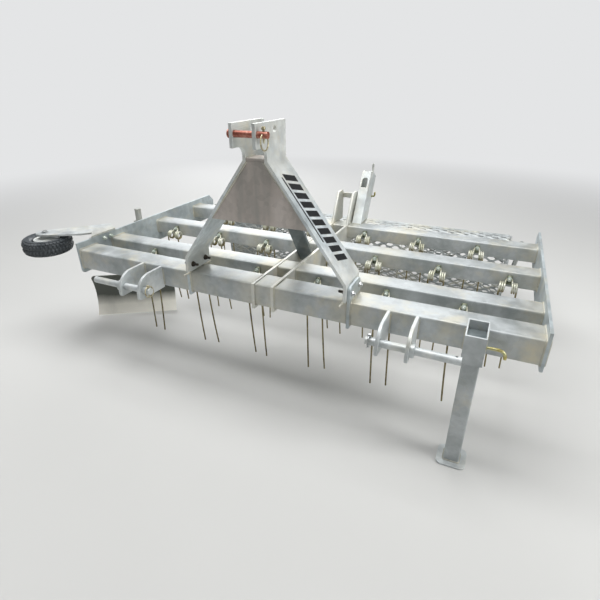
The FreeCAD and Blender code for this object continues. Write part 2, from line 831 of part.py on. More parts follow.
rows = {
    "front": mirrored_row((0.5, 1.5, 2.5)),
    "middle": mirrored_row((1, 2, 3)) + [s.tine_middle_offset],
    "rear": mirrored_row((0.5, 1.5, 2.5)),
}
for word, places in rows.items():
    face = TUBES[f"tine_beam_{word}"][0]
    shift = getattr(s, f"tine_shift_{word}")
    row_tines = [tine(f"tine_{word}_{i}", x + shift, face) for i, x in enumerate(places)]
    node(f"tines_{word}", gathered(f"tines_{word}", row_tines))


# --- roller and roller frame ------------------------------------------------------------------

def disc(name, x, radius, length, bore):
    solid = rod(name + "_solid", "X", x, s.roller_rear, s.roller_radius, radius, length)
    hole = rod(name + "_hole", "X", x - 1, s.roller_rear, s.roller_radius, bore, length + 2)
    return cut(name, solid, hole)


node("roller_mesh", disc("roller_mesh", -roller_half, s.roller_radius, 2 * roller_half,
                         s.roller_radius - s.roller_skin))
end_radius = s.roller_radius - s.roller_skin - seat
for word, side in SIDES:
    start = slab_start(side, roller_half - s.roller_end_thick, s.roller_end_thick)
    node(f"roller_end_{word}", disc(f"roller_end_{word}", start, end_radius,
                                    s.roller_end_thick, s.roller_shaft + seat))
arm_outer = roller_arm_offset + s.roller_arm_thick
shaft_half = arm_outer + s.bearing_length
node("roller_shaft", rod("roller_shaft", "X", 0, 0, 0, s.roller_shaft, 2 * shaft_half),
     -shaft_half, s.roller_rear, s.roller_radius)

cross_half = s.frame_width / 2 - s.cross_play
cross_outer = rod("cross_outer", "X", -cross_half, s.pivot_rear, pivot_height,
                  s.cross_tube_radius, 2 * cross_half)
cross_inner = rod("cross_inner", "X", -side_outside, s.pivot_rear, pivot_height,
                  s.cross_tube_radius - s.cross_tube_wall, 2 * side_outside)
stubs = []
for word, side in SIDES:
    start = slab_start(side, side_outside - s.stub_length, s.stub_length)
    stubs.append(rod(f"cross_stub_{word}", "X", start, s.pivot_rear, pivot_height,
                     s.pivot_radius, s.stub_length))
    inner = slab_start(side, cross_half - s.stub_length / 2, s.stub_length / 2)
    stubs.append(rod(f"cross_plug_{word}", "X", inner, s.pivot_rear, pivot_height,
                     s.cross_tube_radius - s.cross_tube_wall / 2, s.stub_length / 2))
node("roller_crossbar",
     fused("roller_crossbar", [cut("cross_tube", cross_outer, cross_inner)] + stubs))

reach_y = s.roller_rear - s.pivot_rear
reach_z = s.roller_radius - pivot_height
reach = root(reach_y * reach_y + reach_z * reach_z)
across_y = -reach_z * s.roller_arm_radius / reach
across_z = reach_y * s.roller_arm_radius / reach


def roller_arm(sketch):
    """A bar with round ends, from the cross tube down and back to the roller's shaft."""
    y0, z0, y1, z1 = s.pivot_rear, pivot_height, s.roller_rear, s.roller_radius
    outline(sketch, [(y0 - across_y, z0 - across_z, s.roller_arm_radius),
                     (y1 - across_y, z1 - across_z),
                     (y1 + reach_y * s.roller_arm_radius / reach,
                      z1 + reach_z * s.roller_arm_radius / reach, s.roller_arm_radius),
                     (y1 + across_y, z1 + across_z, s.roller_arm_radius),
                     (y0 + across_y, z0 + across_z),
                     (y0 - reach_y * s.roller_arm_radius / reach,
                      z0 - reach_z * s.roller_arm_radius / reach, s.roller_arm_radius)])
    round_hole(sketch, y1, z1, s.roller_shaft + s.shaft_play)
    round_hole(sketch, y0, z0, s.cross_tube_radius + s.weld_gap)


for word, side in SIDES:
    body = padded(f"roller_arm_{word}", "YZ", s.roller_arm_thick, roller_arm)
    node(f"roller_arm_{word}", body, x=slab_start(side, roller_arm_offset, s.roller_arm_thick))
    start = slab_start(side, arm_outer + seat, s.bearing_length - seat)
    node(f"roller_bearing_{word}", disc(f"roller_bearing_{word}", start, s.bearing_radius,
                                        s.bearing_length - seat,
                                        s.roller_shaft + s.shaft_play))


# --- depth adjuster: a fixed guide beside the posts and a lever on the roller frame -----------

guide_left = s.rib_gap / 2 + s.rib_thick + s.guide_gap
guide_low = s.tube_top + seat
guide_rise = s.guide_height - seat
lean = s.guide_lean / guide_rise


def guide_side(sketch):
    step_y = s.guide_foot + lean * s.guide_step
    outline(sketch, [(s.guide_foot, guide_low), (s.guide_foot + s.guide_depth, guide_low),
                     (s.guide_foot + s.guide_depth + lean * s.guide_step,
                      guide_low + s.guide_step),
                     (s.guide_foot + s.guide_lean + s.guide_horn, guide_low + guide_rise),
                     (s.guide_foot + s.guide_lean, guide_low + guide_rise),
                     (step_y, guide_low + s.guide_step)])


def guide_hollow(sketch):
    front = s.guide_foot + s.guide_wall
    outline(sketch, [(front - lean, guide_low - 1),
                     (front + 2 * s.guide_depth, guide_low - 1),
                     (front + 2 * s.guide_depth + s.guide_lean, guide_low + guide_rise + 1),
                     (front + s.guide_lean + lean, guide_low + guide_rise + 1)])


guide = padded("guide_outer", "YZ", s.guide_width, guide_side)
place(guide, guide_left, 0, 0)
hollow = padded("guide_inner", "YZ", s.guide_width - 2 * s.guide_wall, guide_hollow)
place(hollow, guide_left + s.guide_wall, 0, 0)
guide_middle = guide_left + s.guide_width / 2
grip = fused("guide_grip", [
    rod("guide_grip_top", "Y", guide_middle, s.guide_foot, guide_low + s.grip_height,
        s.grip_radius, 2 * s.guide_depth),
    cuboid("guide_grip_straight", guide_middle - s.grip_radius, s.guide_foot,
           guide_low + s.grip_height - s.grip_drop, 2 * s.grip_radius, 2 * s.guide_depth,
           s.grip_drop)])
lock_y = s.pivot_rear + lean * (guide_low + s.lock_pin_height - pivot_height)
lock_hole = rod("guide_lock_hole", "X", guide_middle, lock_y,
                guide_low + s.lock_pin_height, s.lock_pin_radius + seat, s.guide_width)
channel = cut("guide_channel", guide, hollow)
node("adjuster_guide", cut("adjuster_guide", cut("guide_gripped", channel, grip), lock_hole))

flange_inside = guide_left + s.guide_width - s.guide_wall
lock_height = guide_low + s.lock_pin_height
lock_stub = rod("lock_pin_stub", "X", flange_inside, lock_y, lock_height, s.lock_pin_radius,
                s.lock_pin_length)
lock_bend = rod("lock_pin_bend", "Z", flange_inside + s.lock_pin_length - s.lock_bend_radius,
                lock_y, lock_height, s.lock_bend_radius, s.lock_pin_bend)
node("adjuster_pin", fused("adjuster_pin", [lock_stub, lock_bend]))

lever_start = flange_inside - s.lever_gap - s.lever_thick
lever_top = s.tube_top + s.lever_height


def lever(sketch):
    """A leaning flat bar with its foot bored to seat round the cross tube."""
    y0, z0 = s.pivot_rear, pivot_height
    half = s.lever_width / 2
    shift = lean * (lever_top - z0)
    foot = s.cross_tube_radius + s.guide_wall
    outline(sketch, [(y0 - foot, z0), (y0, z0 - foot, foot), (y0 + foot, z0, foot),
                     (y0 + half + shift, lever_top), (y0 - half + shift, lever_top)])
    round_hole(sketch, y0, z0, s.cross_tube_radius + s.weld_gap)


blade_bar = padded("lever_bar", "YZ", s.lever_thick, lever)
place(blade_bar, lever_start, 0, 0)
lever_rod = rod("lever_rod", "Z", lever_start + s.lever_thick / 2, s.pivot_rear + lean * (lever_top - pivot_height),
                lever_top - 2 * s.lever_rod, s.lever_rod, s.lever_rod_length)
node("adjuster_lever", fused("adjuster_lever", [blade_bar, lever_rod]))


# --- edge blade -------------------------------------------------------------------------------

blade_half = s.blade_height / 2
blade_curve = (blade_half * blade_half + s.blade_sag * s.blade_sag) / (2 * s.blade_sag)
blade_middle = s.blade_low + blade_half


def blade_profile(sketch):
    """Section of the blade: an upright strip that is hollow towards the front."""
    low = s.blade_low
    high = s.blade_low + s.blade_height
    outline(sketch, [(0, low, -blade_curve), (s.blade_thick, low),
                     (s.blade_thick, high, blade_curve), (0, high)])


def turned(body):
    """Turn a body by the blade's angle about its own upright axis."""
    body.Placement.Rotation = FreeCAD.Rotation(FreeCAD.Vector(0, 0, 1), s.blade_angle.value)
    bind(body, "Placement.Rotation.Angle", s.blade_angle)
    return body


along = (cosine(s.blade_angle), sine(s.blade_angle))
blade = turned(padded("edge_blade", "YZ", s.blade_length, blade_profile))
node("edge_blade", blade, -blade_offset - s.blade_length / 2 * along[0],
     s.blade_rear - s.blade_length / 2 * along[1])

# The shank's place seen from the middle of the blade, along the blade and behind it.
from_blade_x = blade_offset - shank_offset
from_blade_y = s.shank_rear - s.blade_rear
shank_along = from_blade_x * along[0] + from_blade_y * along[1]
shank_behind = from_blade_y * along[0] - from_blade_x * along[1]
lug_near = s.lug_spread / 2 - s.lug_thick / 2
blade_back = (s.blade_thick + s.blade_sag - blade_curve
              + root(blade_curve * blade_curve - lug_near * lug_near))


def lug(sketch):
    radius = s.lug_radius
    u, v = shank_along, shank_behind
    outline(sketch, [(u - radius, blade_back + seat), (u + radius, blade_back + seat),
                     (u + radius, v), (u, v + radius, radius), (u - radius, v, radius)])
    round_hole(sketch, u, v, s.shank_radius + seat)


lugs = []
for word, side in (("low", -1), ("high", 1)):
    height = blade_middle + side * s.lug_spread / 2 - s.lug_thick / 2
    plate = turned(padded(f"blade_lug_{word}", "XY", s.lug_thick, lug))
    lugs.append(place(plate, -blade_offset, s.blade_rear, height))
node("blade_bracket", gathered("blade_bracket", lugs))

shank_foot = blade_middle - s.lug_spread / 2 - s.lug_thick
node("blade_shank", rod("blade_shank", "Z", 0, 0, 0, s.shank_radius, shank_top - shank_foot),
     -shank_offset, s.shank_rear, shank_foot)
sleeve_length = shank_sleeve_high - shank_sleeve_low
shank_outer = cuboid("shank_sleeve_outer", -shank_offset - s.shank_sleeve_side / 2,
                     s.shank_rear - s.shank_sleeve_side / 2, shank_sleeve_low,
                     s.shank_out + s.shank_sleeve_side / 2 - seat, s.shank_sleeve_side,
                     sleeve_length)
shank_inner = rod("shank_sleeve_inner", "Z", -shank_offset, s.shank_rear,
                  shank_sleeve_low - 1, s.shank_radius + s.shank_play, sleeve_length + 2)
node("shank_sleeve", cut("shank_sleeve", shank_outer, shank_inner))


# --- guide wheel that lies flat outside the front left corner -----------------------------------

def revolved(name, draw):
    """A body turned about its own Z axis from a half section drawn as (radius, height)."""
    body = doc.addObject("PartDesign::Body", name + "_body")
    sketch = body.newObject("Sketcher::SketchObject", name + "_sketch")
    support = [f for f in body.Origin.OriginFeatures if f.Role == "XZ_Plane"][0]
    sketch.AttachmentSupport = [(support, "")]
    sketch.MapMode = "FlatFace"
    draw(sketch)
    turn = body.newObject("PartDesign::Revolution", name + "_revolution")
    turn.Profile = sketch
    turn.ReferenceAxis = (sketch, ["V_Axis"])
    turn.Angle = 360
    sketch.Visibility = False
    return body


def tyre_section(sketch):
    half = s.wheel_width / 2
    bend = s.tyre_round
    outline(sketch, [(s.rim_radius + seat, -s.rim_width / 2), (s.wheel_radius - bend, -half),
                     (s.wheel_radius, bend - half, bend), (s.wheel_radius, half - bend),
                     (s.wheel_radius - bend, half, bend),
                     (s.rim_radius + seat, s.rim_width / 2)])


def rim_section(sketch):
    """Hub, web and channel of the rim in one section."""
    bore = s.axle_radius + s.axle_play
    hub, web, channel = s.hub_length / 2, s.web_thick / 2, s.rim_width / 2
    inner = s.rim_radius - s.rim_wall
    outline(sketch, [(bore, -hub), (s.hub_radius, -hub), (s.hub_radius, -web), (inner, -web),
                     (inner, -channel), (s.rim_radius, -channel), (s.rim_radius, channel),
                     (inner, channel), (inner, web), (s.hub_radius, web), (s.hub_radius, hub),
                     (bore, hub)])


for name, section in (("guide_wheel_tyre", tyre_section), ("guide_wheel_rim", rim_section)):
    node(name, revolved(name, section), -wheel_offset, s.wheel_setback, wheel_height)
axle_foot = wheel_height - s.hub_length / 2 - s.axle_below
axle_length = wheel_arm_low + s.wheel_arm_thick + s.axle_above - axle_foot
node("guide_wheel_axle", rod("guide_wheel_axle", "Z", 0, 0, 0, s.axle_radius, axle_length),
     -wheel_offset, s.wheel_setback, axle_foot)


def from_axle(out, rear):
    """A point of the arm outside the side plate, seen from the wheel's axle."""
    return wheel_offset - side_outside - out, rear - s.wheel_setback


def touch(point, side):
    """Where the line from a point meets the arm's round end, on its left or right side."""
    x, y = point
    radius = s.wheel_arm_radius
    square = x * x + y * y
    tangent = root(square - radius * radius)
    return (radius * (radius * x - side * tangent * y) / square,
            radius * (radius * y + side * tangent * x) / square)


def wheel_arm(sketch):
    """Plan of the flat arm: a round end over the axle, straight edges to a wide foot that lies
    on the side plate's edge, and a notch in the foot's front."""
    radius = s.wheel_arm_radius
    tail = from_axle(s.arm_tail_out, s.arm_tail_rear)
    heel = from_axle(s.arm_heel_out, s.arm_heel_rear)
    outline(sketch, [touch(tail, 1), (-radius, 0, radius), (*touch(heel, -1), radius), heel,
                     from_axle(s.arm_notch_out, s.arm_notch_rear),
                     from_axle(-s.wheel_arm_lap, s.bracket_front),
                     from_axle(-s.wheel_arm_lap, s.bracket_rear), tail])
    round_hole(sketch, 0, 0, s.axle_radius + seat)


node("guide_wheel_arm", padded("guide_wheel_arm", "XY", s.wheel_arm_thick, wheel_arm),
     -wheel_offset, s.wheel_setback, wheel_arm_low)


def wheel_bracket(sketch):
    """Upright flange under the arm, with a tongue down between the ends of the two tubes."""
    shoulder = s.tube_top + s.bracket_clear
    high = wheel_arm_low - seat
    tongue_front = s.front_depth + s.bracket_clear
    tongue_rear = s.first_setback - s.bracket_clear
    low = s.tube_top - s.bracket_drop
    outline(sketch, [(s.bracket_front, shoulder), (tongue_front, shoulder), (tongue_front, low),
                     (tongue_rear, low), (tongue_rear, shoulder), (s.bracket_rear, shoulder),
                     (s.bracket_rear, high), (s.bracket_front, high)])


node("guide_wheel_bracket", padded("guide_wheel_bracket", "YZ", s.bracket_thick, wheel_bracket),
     x=-(side_outside + seat + s.bracket_thick))

doc.recompute()
for item in doc.Objects:
    if "Invalid" in item.State or "Error" in item.State:
        raise SystemExit(f"{item.Label}: {item.State} {item.getStatusString()}")
os.makedirs("parts", exist_ok=True)
for name, item in nodes.items():
    if item.Shape.isNull() or not item.Shape.isValid():
        raise SystemExit(f"{name}: no valid shape")
    item.Shape.exportStep(f"parts/{name}.step")
    b = item.Shape.BoundBox
    print(f"{name:24s} solids {len(item.Shape.Solids)} volume {item.Shape.Volume/1000:10.1f} cm3",
          [round(v) for v in (b.XMin, b.XMax, b.YMin, b.YMax, b.ZMin, b.ZMax)])
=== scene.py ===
# %% [markdown]
# # Arena harrow
# A flat frame of hot-dip galvanised box tubes carries three rows of double spring tines, a
# roller of expanded metal, a headstock for a tractor's three-point linkage, a parking stand,
# an edge blade and a guide wheel. Each cell below builds one kind of piece: the frame of
# finished sizes comes from the CAD model, and every curved or detailed piece is a surface
# worked out with numpy from a few numbers.

# %% Load the frame
import json
import math
import bmesh
import bpy
import numpy as np
from mathutils import Matrix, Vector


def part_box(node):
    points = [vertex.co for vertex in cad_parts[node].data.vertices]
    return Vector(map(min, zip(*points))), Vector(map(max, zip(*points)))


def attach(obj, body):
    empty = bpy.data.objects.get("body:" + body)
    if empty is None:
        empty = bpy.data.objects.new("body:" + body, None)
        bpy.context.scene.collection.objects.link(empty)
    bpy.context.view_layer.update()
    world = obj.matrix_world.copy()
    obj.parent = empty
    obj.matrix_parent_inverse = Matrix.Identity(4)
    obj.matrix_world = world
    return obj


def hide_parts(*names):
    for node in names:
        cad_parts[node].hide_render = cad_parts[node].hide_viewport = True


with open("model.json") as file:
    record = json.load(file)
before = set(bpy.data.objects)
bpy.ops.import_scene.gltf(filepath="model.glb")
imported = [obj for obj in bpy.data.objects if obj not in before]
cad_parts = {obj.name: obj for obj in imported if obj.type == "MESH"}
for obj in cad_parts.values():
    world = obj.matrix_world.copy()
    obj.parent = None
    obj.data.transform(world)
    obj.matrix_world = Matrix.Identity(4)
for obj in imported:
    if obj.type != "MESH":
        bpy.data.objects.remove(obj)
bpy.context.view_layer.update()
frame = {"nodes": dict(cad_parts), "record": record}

MM = 0.001
bodies_of = frame["record"]["behaviour"]["bodies"]
body_of_node = {node: body for body, nodes in bodies_of.items() for node in nodes}
slot_of_node = {row["node"]: row["material_slot"] for row in frame["record"]["subparts"]}


def corners(node):
    """Lowest and highest corner of a CAD node, in metres, as two numpy arrays."""
    low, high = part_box(node)
    return np.array(low), np.array(high)


beam_low, beam_high = corners("front_beam")
MIDDLE = (beam_low[0] + beam_high[0]) / 2
FRONT, TOP = beam_low[1], beam_high[2]
SIDES = (("left", -1), ("right", 1))

# %% [markdown]
# ## Arrays into meshes
# Every shape here is a grid: rows of points that follow one parameter, columns that follow
# another. Four neighbouring points make a face, so the faces of any grid come from one index
# array, and the whole mesh goes into Blender in a few calls instead of one call per point.

# %% Grids and meshes
class Shape:
    """Collects surfaces that end up in one mesh."""

    def __init__(self):
        self.points, self.faces, self.count = [], [], 0

    def add(self, points, *faces):
        """Append points, and faces whose corners count these points from zero."""
        points = np.asarray(points, float).reshape(-1, 3)
        self.points.append(points)
        self.faces += [np.asarray(f, int) + self.count for f in faces]
        self.count += len(points)
        return self

    def grid(self, rings, wrap_rows=False, caps=False):
        """Rings of points with shape (rows, columns, 3), each ring closed on itself: quads
        join neighbouring points, and caps close the first and the last ring."""
        rows, columns = rings.shape[:2]
        i = np.arange(rows if wrap_rows else rows - 1)[:, None]
        j = np.arange(columns)[None, :]
        below, above, beside = i * columns, (i + 1) % rows * columns, (j + 1) % columns
        quads = np.stack([below + j, below + beside, above + beside, above + j], axis=-1)
        faces = [quads.reshape(-1, 4)]
        if caps:
            faces += [j[:, ::-1], j + (rows - 1) * columns]
        return self.add(rings, *faces)

    def mesh(self, name):
        """One Blender mesh from all collected arrays, its faces turned outwards."""
        points = np.concatenate(self.points).astype(np.float32)
        loops = np.concatenate([f.ravel() for f in self.faces])
        sizes = np.concatenate([np.full(len(f), f.shape[1]) for f in self.faces])
        mesh = bpy.data.meshes.new(name)
        mesh.vertices.add(len(points))
        mesh.vertices.foreach_set("co", points.ravel())
        mesh.loops.add(len(loops))
        mesh.loops.foreach_set("vertex_index", loops.astype(np.int32))
        mesh.polygons.add(len(sizes))
        mesh.polygons.foreach_set("loop_start", (np.cumsum(sizes) - sizes).astype(np.int32))
        mesh.update(calc_edges=True)
        mesh.validate()
        work = bmesh.new()
        work.from_mesh(mesh)
        bmesh.ops.recalc_face_normals(work, faces=work.faces)
        work.to_mesh(mesh)
        work.free()
        return mesh


def put(name, data):
    """A new object in the scene, at the origin."""
    item = bpy.data.objects.new(name, data)
    bpy.context.scene.collection.objects.link(item)
    return item


def finish_piece(name, shape, material, node=None, body="frame", slot="galvanised_steel",
                 sharp=40):
    """Put a shape, or a mesh, in the scene, smooth up to a sharp angle in degrees. A piece
    that stands for a CAD node takes its body from the node. The slot, given or looked up
    there, is not used."""
    if node:
        body, slot = body_of_node[node], slot_of_node[node]
    mesh = shape.mesh(name) if isinstance(shape, Shape) else shape
    mesh.materials.append(material)
    mesh.shade_smooth()
    mesh.set_sharp_from_angle(angle=math.radians(sharp))
    piece = put(name, mesh)
    if node:
        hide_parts(node)
    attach(piece, body)
    print(f"{name}: {len(mesh.polygons)} faces on {body}")
    return piece


# %% [markdown]
# ## Colours and nodes
# Colours are noted as sRGB hex codes, as on a paint chart, while the shader works in linear
# light, so one function turns them. A second small function adds any node with its settings
# and links, which keeps each material readable as a list of steps. Every material ends alike:
# a colour, a roughness and a relief go into its surface shader.

# %% Colour and node helpers
def linear(code):
    """Hex colour to linear light: values above 0.04045 follow the 2.4 power curve of sRGB."""
    value = np.array([int(code[i:i + 2], 16) for i in (1, 3, 5)]) / 255
    light = np.where(value > 0.04045, ((value + 0.055) / 1.055) ** 2.4, value / 12.92)
    return (*light.tolist(), 1.0)


def feed(tree, node, inputs):
    """Give a node's sockets, by name or in their order, a value or a link from a socket."""
    for key, value in (inputs.items() if isinstance(inputs, dict) else enumerate(inputs)):
        if isinstance(value, bpy.types.NodeSocket):
            tree.links.new(value, node.inputs[key])
        else:
            node.inputs[key].default_value = value


def add(tree, kind, inputs=(), output=0, **settings):
    """Add a shader node, set its properties, feed its sockets and return one output."""
    node = tree.nodes.new("ShaderNode" + kind)
    for key, value in settings.items():
        setattr(node, key, value)
    feed(tree, node, inputs)
    return node.outputs[output]


def pattern(place, size_mm, **more):
    """Sockets of a pattern whose features measure size_mm: its scale is 1000 / size_mm."""
    return {"Vector": place, "Scale": 1000 / size_mm, **more}


def set_stops(colour, stops):
    """Give the colour ramp that an output belongs to its stops, (place, hex colour)."""
    elements = colour.node.color_ramp.elements
    while len(elements) < len(stops):
        elements.new(0.5)
    for element, (place, code) in zip(elements, stops):
        element.position = place
        element.color = linear(code)
    return colour


def start(name):
    """A new material, its node tree and the object coordinates."""
    material = bpy.data.materials.new(name)
    material.use_nodes = True
    tree = material.node_tree
    return material, tree, add(tree, "TexCoord", output="Object")


def surface(material, colour, metallic, rough, height, depth_mm, strength=0.4):
    """Feed a material's surface shader; the range of height stands for depth_mm of relief."""
    tree = material.node_tree
    relief = add(tree, "Bump", {"Height": height, "Distance": depth_mm * MM,
                                "Strength": strength})
    feed(tree, tree.nodes["Principled BSDF"], {"Base Color": colour, "Metallic": metallic,
                                               "Roughness": rough, "Normal": relief})
    print("material:", material.name)
    return material


# %% [markdown]
# ## Hot-dip galvanised steel
# After welding, the whole frame is dipped in molten zinc. The coat freezes in crystals, the
# spangle, that lie 10 to 25 mm wide and each catch the light a little differently. In the
# first months it dulls unevenly to a soft blue-grey, with pale, warm runs where acid and flux
# seeped out of the weld seams. A cell pattern gives the spangle, two slow noises give the
# dulling, and a mask that knows how far a point lies from the welded joints gives the runs.

# %% Galvanised steel
SPANGLE_MM, CLOUD_MM = 17, 70
SEAM_NEAR, SEAM_FAR = 10 * MM, 100 * MM
WELD_PLANES = [float(corners(n)[side][0]) for n, side in (
    ("side_plate_left", 1), ("headstock_ear_left", 0), ("headstock_ear_left", 1),
    ("centre_rib_left", 0), ("centre_rib_right", 1), ("headstock_ear_right", 0),
    ("headstock_ear_right", 1), ("side_plate_right", 0))]


def galvanised(name, tones, warm, joints=True, drawn_out=1.0):
    """Zinc coat; tones are three hex colours from dull to bright, warm that of the runs.
    With drawn_out below 1 the clouds stretch upwards, as the zinc ran off a steep plate."""
    material, tree, place = start(name)
    drawn = add(tree, "Mapping", {"Vector": place, "Scale": (1, 1, drawn_out)})
    slow = add(tree, "TexNoise", pattern(drawn, 260 if joints else 150, Detail=4,
                                         Roughness=0.6))
    cloud = add(tree, "TexNoise", pattern(drawn, CLOUD_MM, Detail=3, Roughness=0.55))
    tone = add(tree, "Math", [slow, cloud], operation="ADD")
    base = set_stops(add(tree, "ValToRGB", [add(tree, "MapRange", [tone, 0.72, 1.28, 0, 1])]),
                     [(0, tones[0]), (0.5, tones[1]), (1, tones[2])])
    spangle = add(tree, "TexVoronoi", pattern(place, SPANGLE_MM), "Color")
    flake = add(tree, "SeparateColor", [spangle])
    bright = add(tree, "MapRange", [flake, 0, 1, 0.93, 1.07])
    grey = add(tree, "CombineColor", [bright, bright, bright])
    colour = add(tree, "Mix", {0: 1.0, 6: base, 7: grey}, 2, data_type="RGBA",
                 blend_type="MULTIPLY")
    runs = add(tree, "TexNoise", pattern(place, 120, Detail=5, Roughness=0.62))
    runs = add(tree, "MapRange", [runs, 0.52, 0.72, 0, 0.55])
    if joints:
        x = add(tree, "SeparateXYZ", [place], "X")
        nearest = None
        for plane in WELD_PLANES:
            away = add(tree, "Math", [x, plane], operation="SUBTRACT")
            away = add(tree, "Math", [away], operation="ABSOLUTE")
            nearest = away if nearest is None else add(tree, "Math", [nearest, away],
                                                       operation="MINIMUM")
        seam = add(tree, "MapRange", [nearest, SEAM_NEAR, SEAM_FAR, 0.75, 0])
        patchy = add(tree, "TexNoise", pattern(place, 45, Detail=4, Roughness=0.6))
        seam = add(tree, "Math", [seam, patchy], operation="MULTIPLY")
        runs = add(tree, "Math", [runs, seam], operation="ADD", use_clamp=True)
    dull = add(tree, "Math", [add(tree, "MapRange", [cloud, 0.3, 0.7, 0.36, 0.56]),
                              add(tree, "MapRange", [flake, 0, 1, -0.05, 0.05])],
               operation="ADD")
    wave = add(tree, "Math", [add(tree, "TexNoise", pattern(place, 34, Detail=3)),
                              add(tree, "TexNoise", pattern(place, 7))], operation="ADD")
    colour = add(tree, "Mix", {0: runs, 6: colour, 7: linear(warm)}, 2, data_type="RGBA")
    return surface(material, colour, 0.4, dull, wave, 0.5, 0.35)


# tubes and small sections, clouded by a season outdoors
zinc = galvanised("hot_dip_galvanised_steel", ("#9aa0a0", "#b0b5b6", "#c5cacb"), "#cfc8b0")
# side plates and ears: plate cools evenly, so its coat is cooler in tone, without runs
zinc_plate = galvanised("hot_dip_galvanised_plate", ("#9da6a9", "#b3bcbf", "#c9d2d5"),
                        "#cac9bb", joints=False)
# link plates, ribs, wheel arm and pins, whose coat is still pale and is made paler still as
# painted light on these lit parts
zinc_pale_and_painted_light = galvanised("hot_dip_galvanised_steel_pale_and_painted_light", ("#b3b9b9", "#c8cdce", "#dadddc"),
                       "#dcd6c2")
# arms and adjuster guide, nearly white: painted light, a lit copy of the zinc for the light from
# the right that falls on them
zinc_painted_light = galvanised("hot_dip_galvanised_steel_painted_light", ("#c0c8cb", "#d9e1e4", "#edf2f3"),
                         "#e4e0d2")
# steep sheet of the headstock, with long warm streaks: its warm brownish tone is a painted
# reflection of the ground
zinc_sheet_painted_reflection = galvanised("hot_dip_galvanised_sheet_painted_reflection", ("#9f9d98", "#beb6af", "#d0c8c2"), "#c8bbb2",
                       joints=False, drawn_out=0.12)
# the stay and the leg's cap in dark grey; on the stay this is painted shade, as the stay lies in
# the shade of the headstock sheet
zinc_dark_grey_and_painted_shade = galvanised("hot_dip_galvanised_flat_dark_grey_and_painted_shade", ("#5d686c", "#6f797c", "#848c8d"),
                       "#8b8b80", joints=False)
# weld metal, on which zinc lies rougher and a little yellow
weld_zinc = galvanised("galvanised_weld_metal", ("#a4a49c", "#b8b7ac", "#cbc8b8"), "#d4ccb2",
                       joints=False)

# %% [markdown]
# ## Plated and coated small parts
# Tines, clamps and small pins are zinc plated and dipped in yellow chromate, a film so thin
# that it shows bands of yellow, green and pink. On the tines the upper half of each coil has a
# pale film as painted light from above, while the lower half of the coils keeps a darker film
# as painted shade, the bow behind the clamp is dimmed halfway as painted shade, and the legs
# are a darker brown-gold. The right linch pin has plain bright zinc, and the top link pin a
# copper-red coating that has worn through where it turns in its holes.

# %% Plated steels
# pale film on the upper half of the coils as painted light from above; the bow's band dims it
# back halfway as painted shade behind the clamp
COIL_PAINTED_LIGHT = [(0.34, "#b5b59e"), (0.46, "#d2d2be"), (0.58, "#e6e6da"), (0.7, "#c0c3b0")]
COIL_LIGHT_BAND = (TOP - 74 * MM, TOP - 58 * MM)
BOW_SHADE_BAND = (TOP - 36 * MM, TOP - 31 * MM)


def plated(name, stops, size_mm, metallic, roughness, coils=False):
    """Thin plated film: a noise of size_mm picks the tone, a finer one roughens it. With
    coils the upper half of the tines' coils takes a pale film as painted light, the rest keeps
    the darker film, which on the lower half of the coils is painted shade, and the bow behind
    the clamp is dimmed to half of each as painted shade."""
    material, tree, place = start(name)
    film = add(tree, "TexNoise", pattern(place, size_mm, Detail=4, Roughness=0.6))
    colour = set_stops(add(tree, "ValToRGB", [film]), stops)
    if coils:
        height = add(tree, "SeparateXYZ", [place], "Z")
        coil_light_mask = add(tree, "Math", [add(tree, "MapRange", [height, *COIL_LIGHT_BAND, 0, 1]),
                                   add(tree, "MapRange", [height, *BOW_SHADE_BAND, 1, 0.5])],
                    operation="MULTIPLY")
        painted_light_film = set_stops(add(tree, "ValToRGB", [film]), COIL_PAINTED_LIGHT)
        colour = add(tree, "Mix", {0: coil_light_mask, 6: colour, 7: painted_light_film}, 2, data_type="RGBA")
    fine = add(tree, "TexNoise", pattern(place, size_mm / 6, Detail=3))
    rough = add(tree, "MapRange", [fine, 0.3, 0.7, roughness - 0.07, roughness + 0.09])
    return surface(material, colour, metallic, rough, fine, 0.08)


yellow_zinc = plated("yellow_chromate_zinc", [(0.34, "#9c8a4a"), (0.45, "#b5ab6a"),
                                              (0.56, "#c9c496"), (0.68, "#9aa277")],
                     22, 0.75, 0.34)
# darker film on the legs and the lower coils; on the lower coils it is painted shade
spring_wire = plated("yellow_chromate_spring_wire",
                     [(0.34, "#5c5237"), (0.46, "#7a704c"), (0.58, "#918867"),
                      (0.7, "#6e6e52")], 40, 0.5, 0.4, coils=True)
clamp_zinc = plated("chromated_clamp_steel", [(0.36, "#4d5545"), (0.5, "#6a725d"),
                                              (0.64, "#8f9580")], 26, 0.5, 0.42)
nut_zinc = plated("pale_chromated_nuts", [(0.36, "#9aa398"), (0.5, "#bcc6bc"),
                                          (0.64, "#dbe0d8")], 14, 0.4, 0.38)
# near black for the zinc plated bolts of the arms' feet: painted shade
bolt_zinc_painted_shade = plated("zinc_bolt_steel_painted_shade", [(0.36, "#2c2824"), (0.5, "#3f3a33"),
                                           (0.64, "#5a5347")], 12, 0.4, 0.45)
bright_zinc = plated("bright_zinc_plate", [(0.35, "#a9adaf"), (0.5, "#c3c6c7"),
                                           (0.65, "#d5d6d4")], 18, 0.85, 0.3)
copper_red = plated("copper_red_coating", [(0.33, "#84483a"), (0.47, "#a86352"),
                                           (0.6, "#bd8270"), (0.72, "#cda396")], 16, 0.4, 0.38)
straw_zinc = plated("straw_chromate_ring", [(0.35, "#8f8468"), (0.5, "#bdb595"),
                                            (0.65, "#d9d4bd")], 14, 0.6, 0.35)
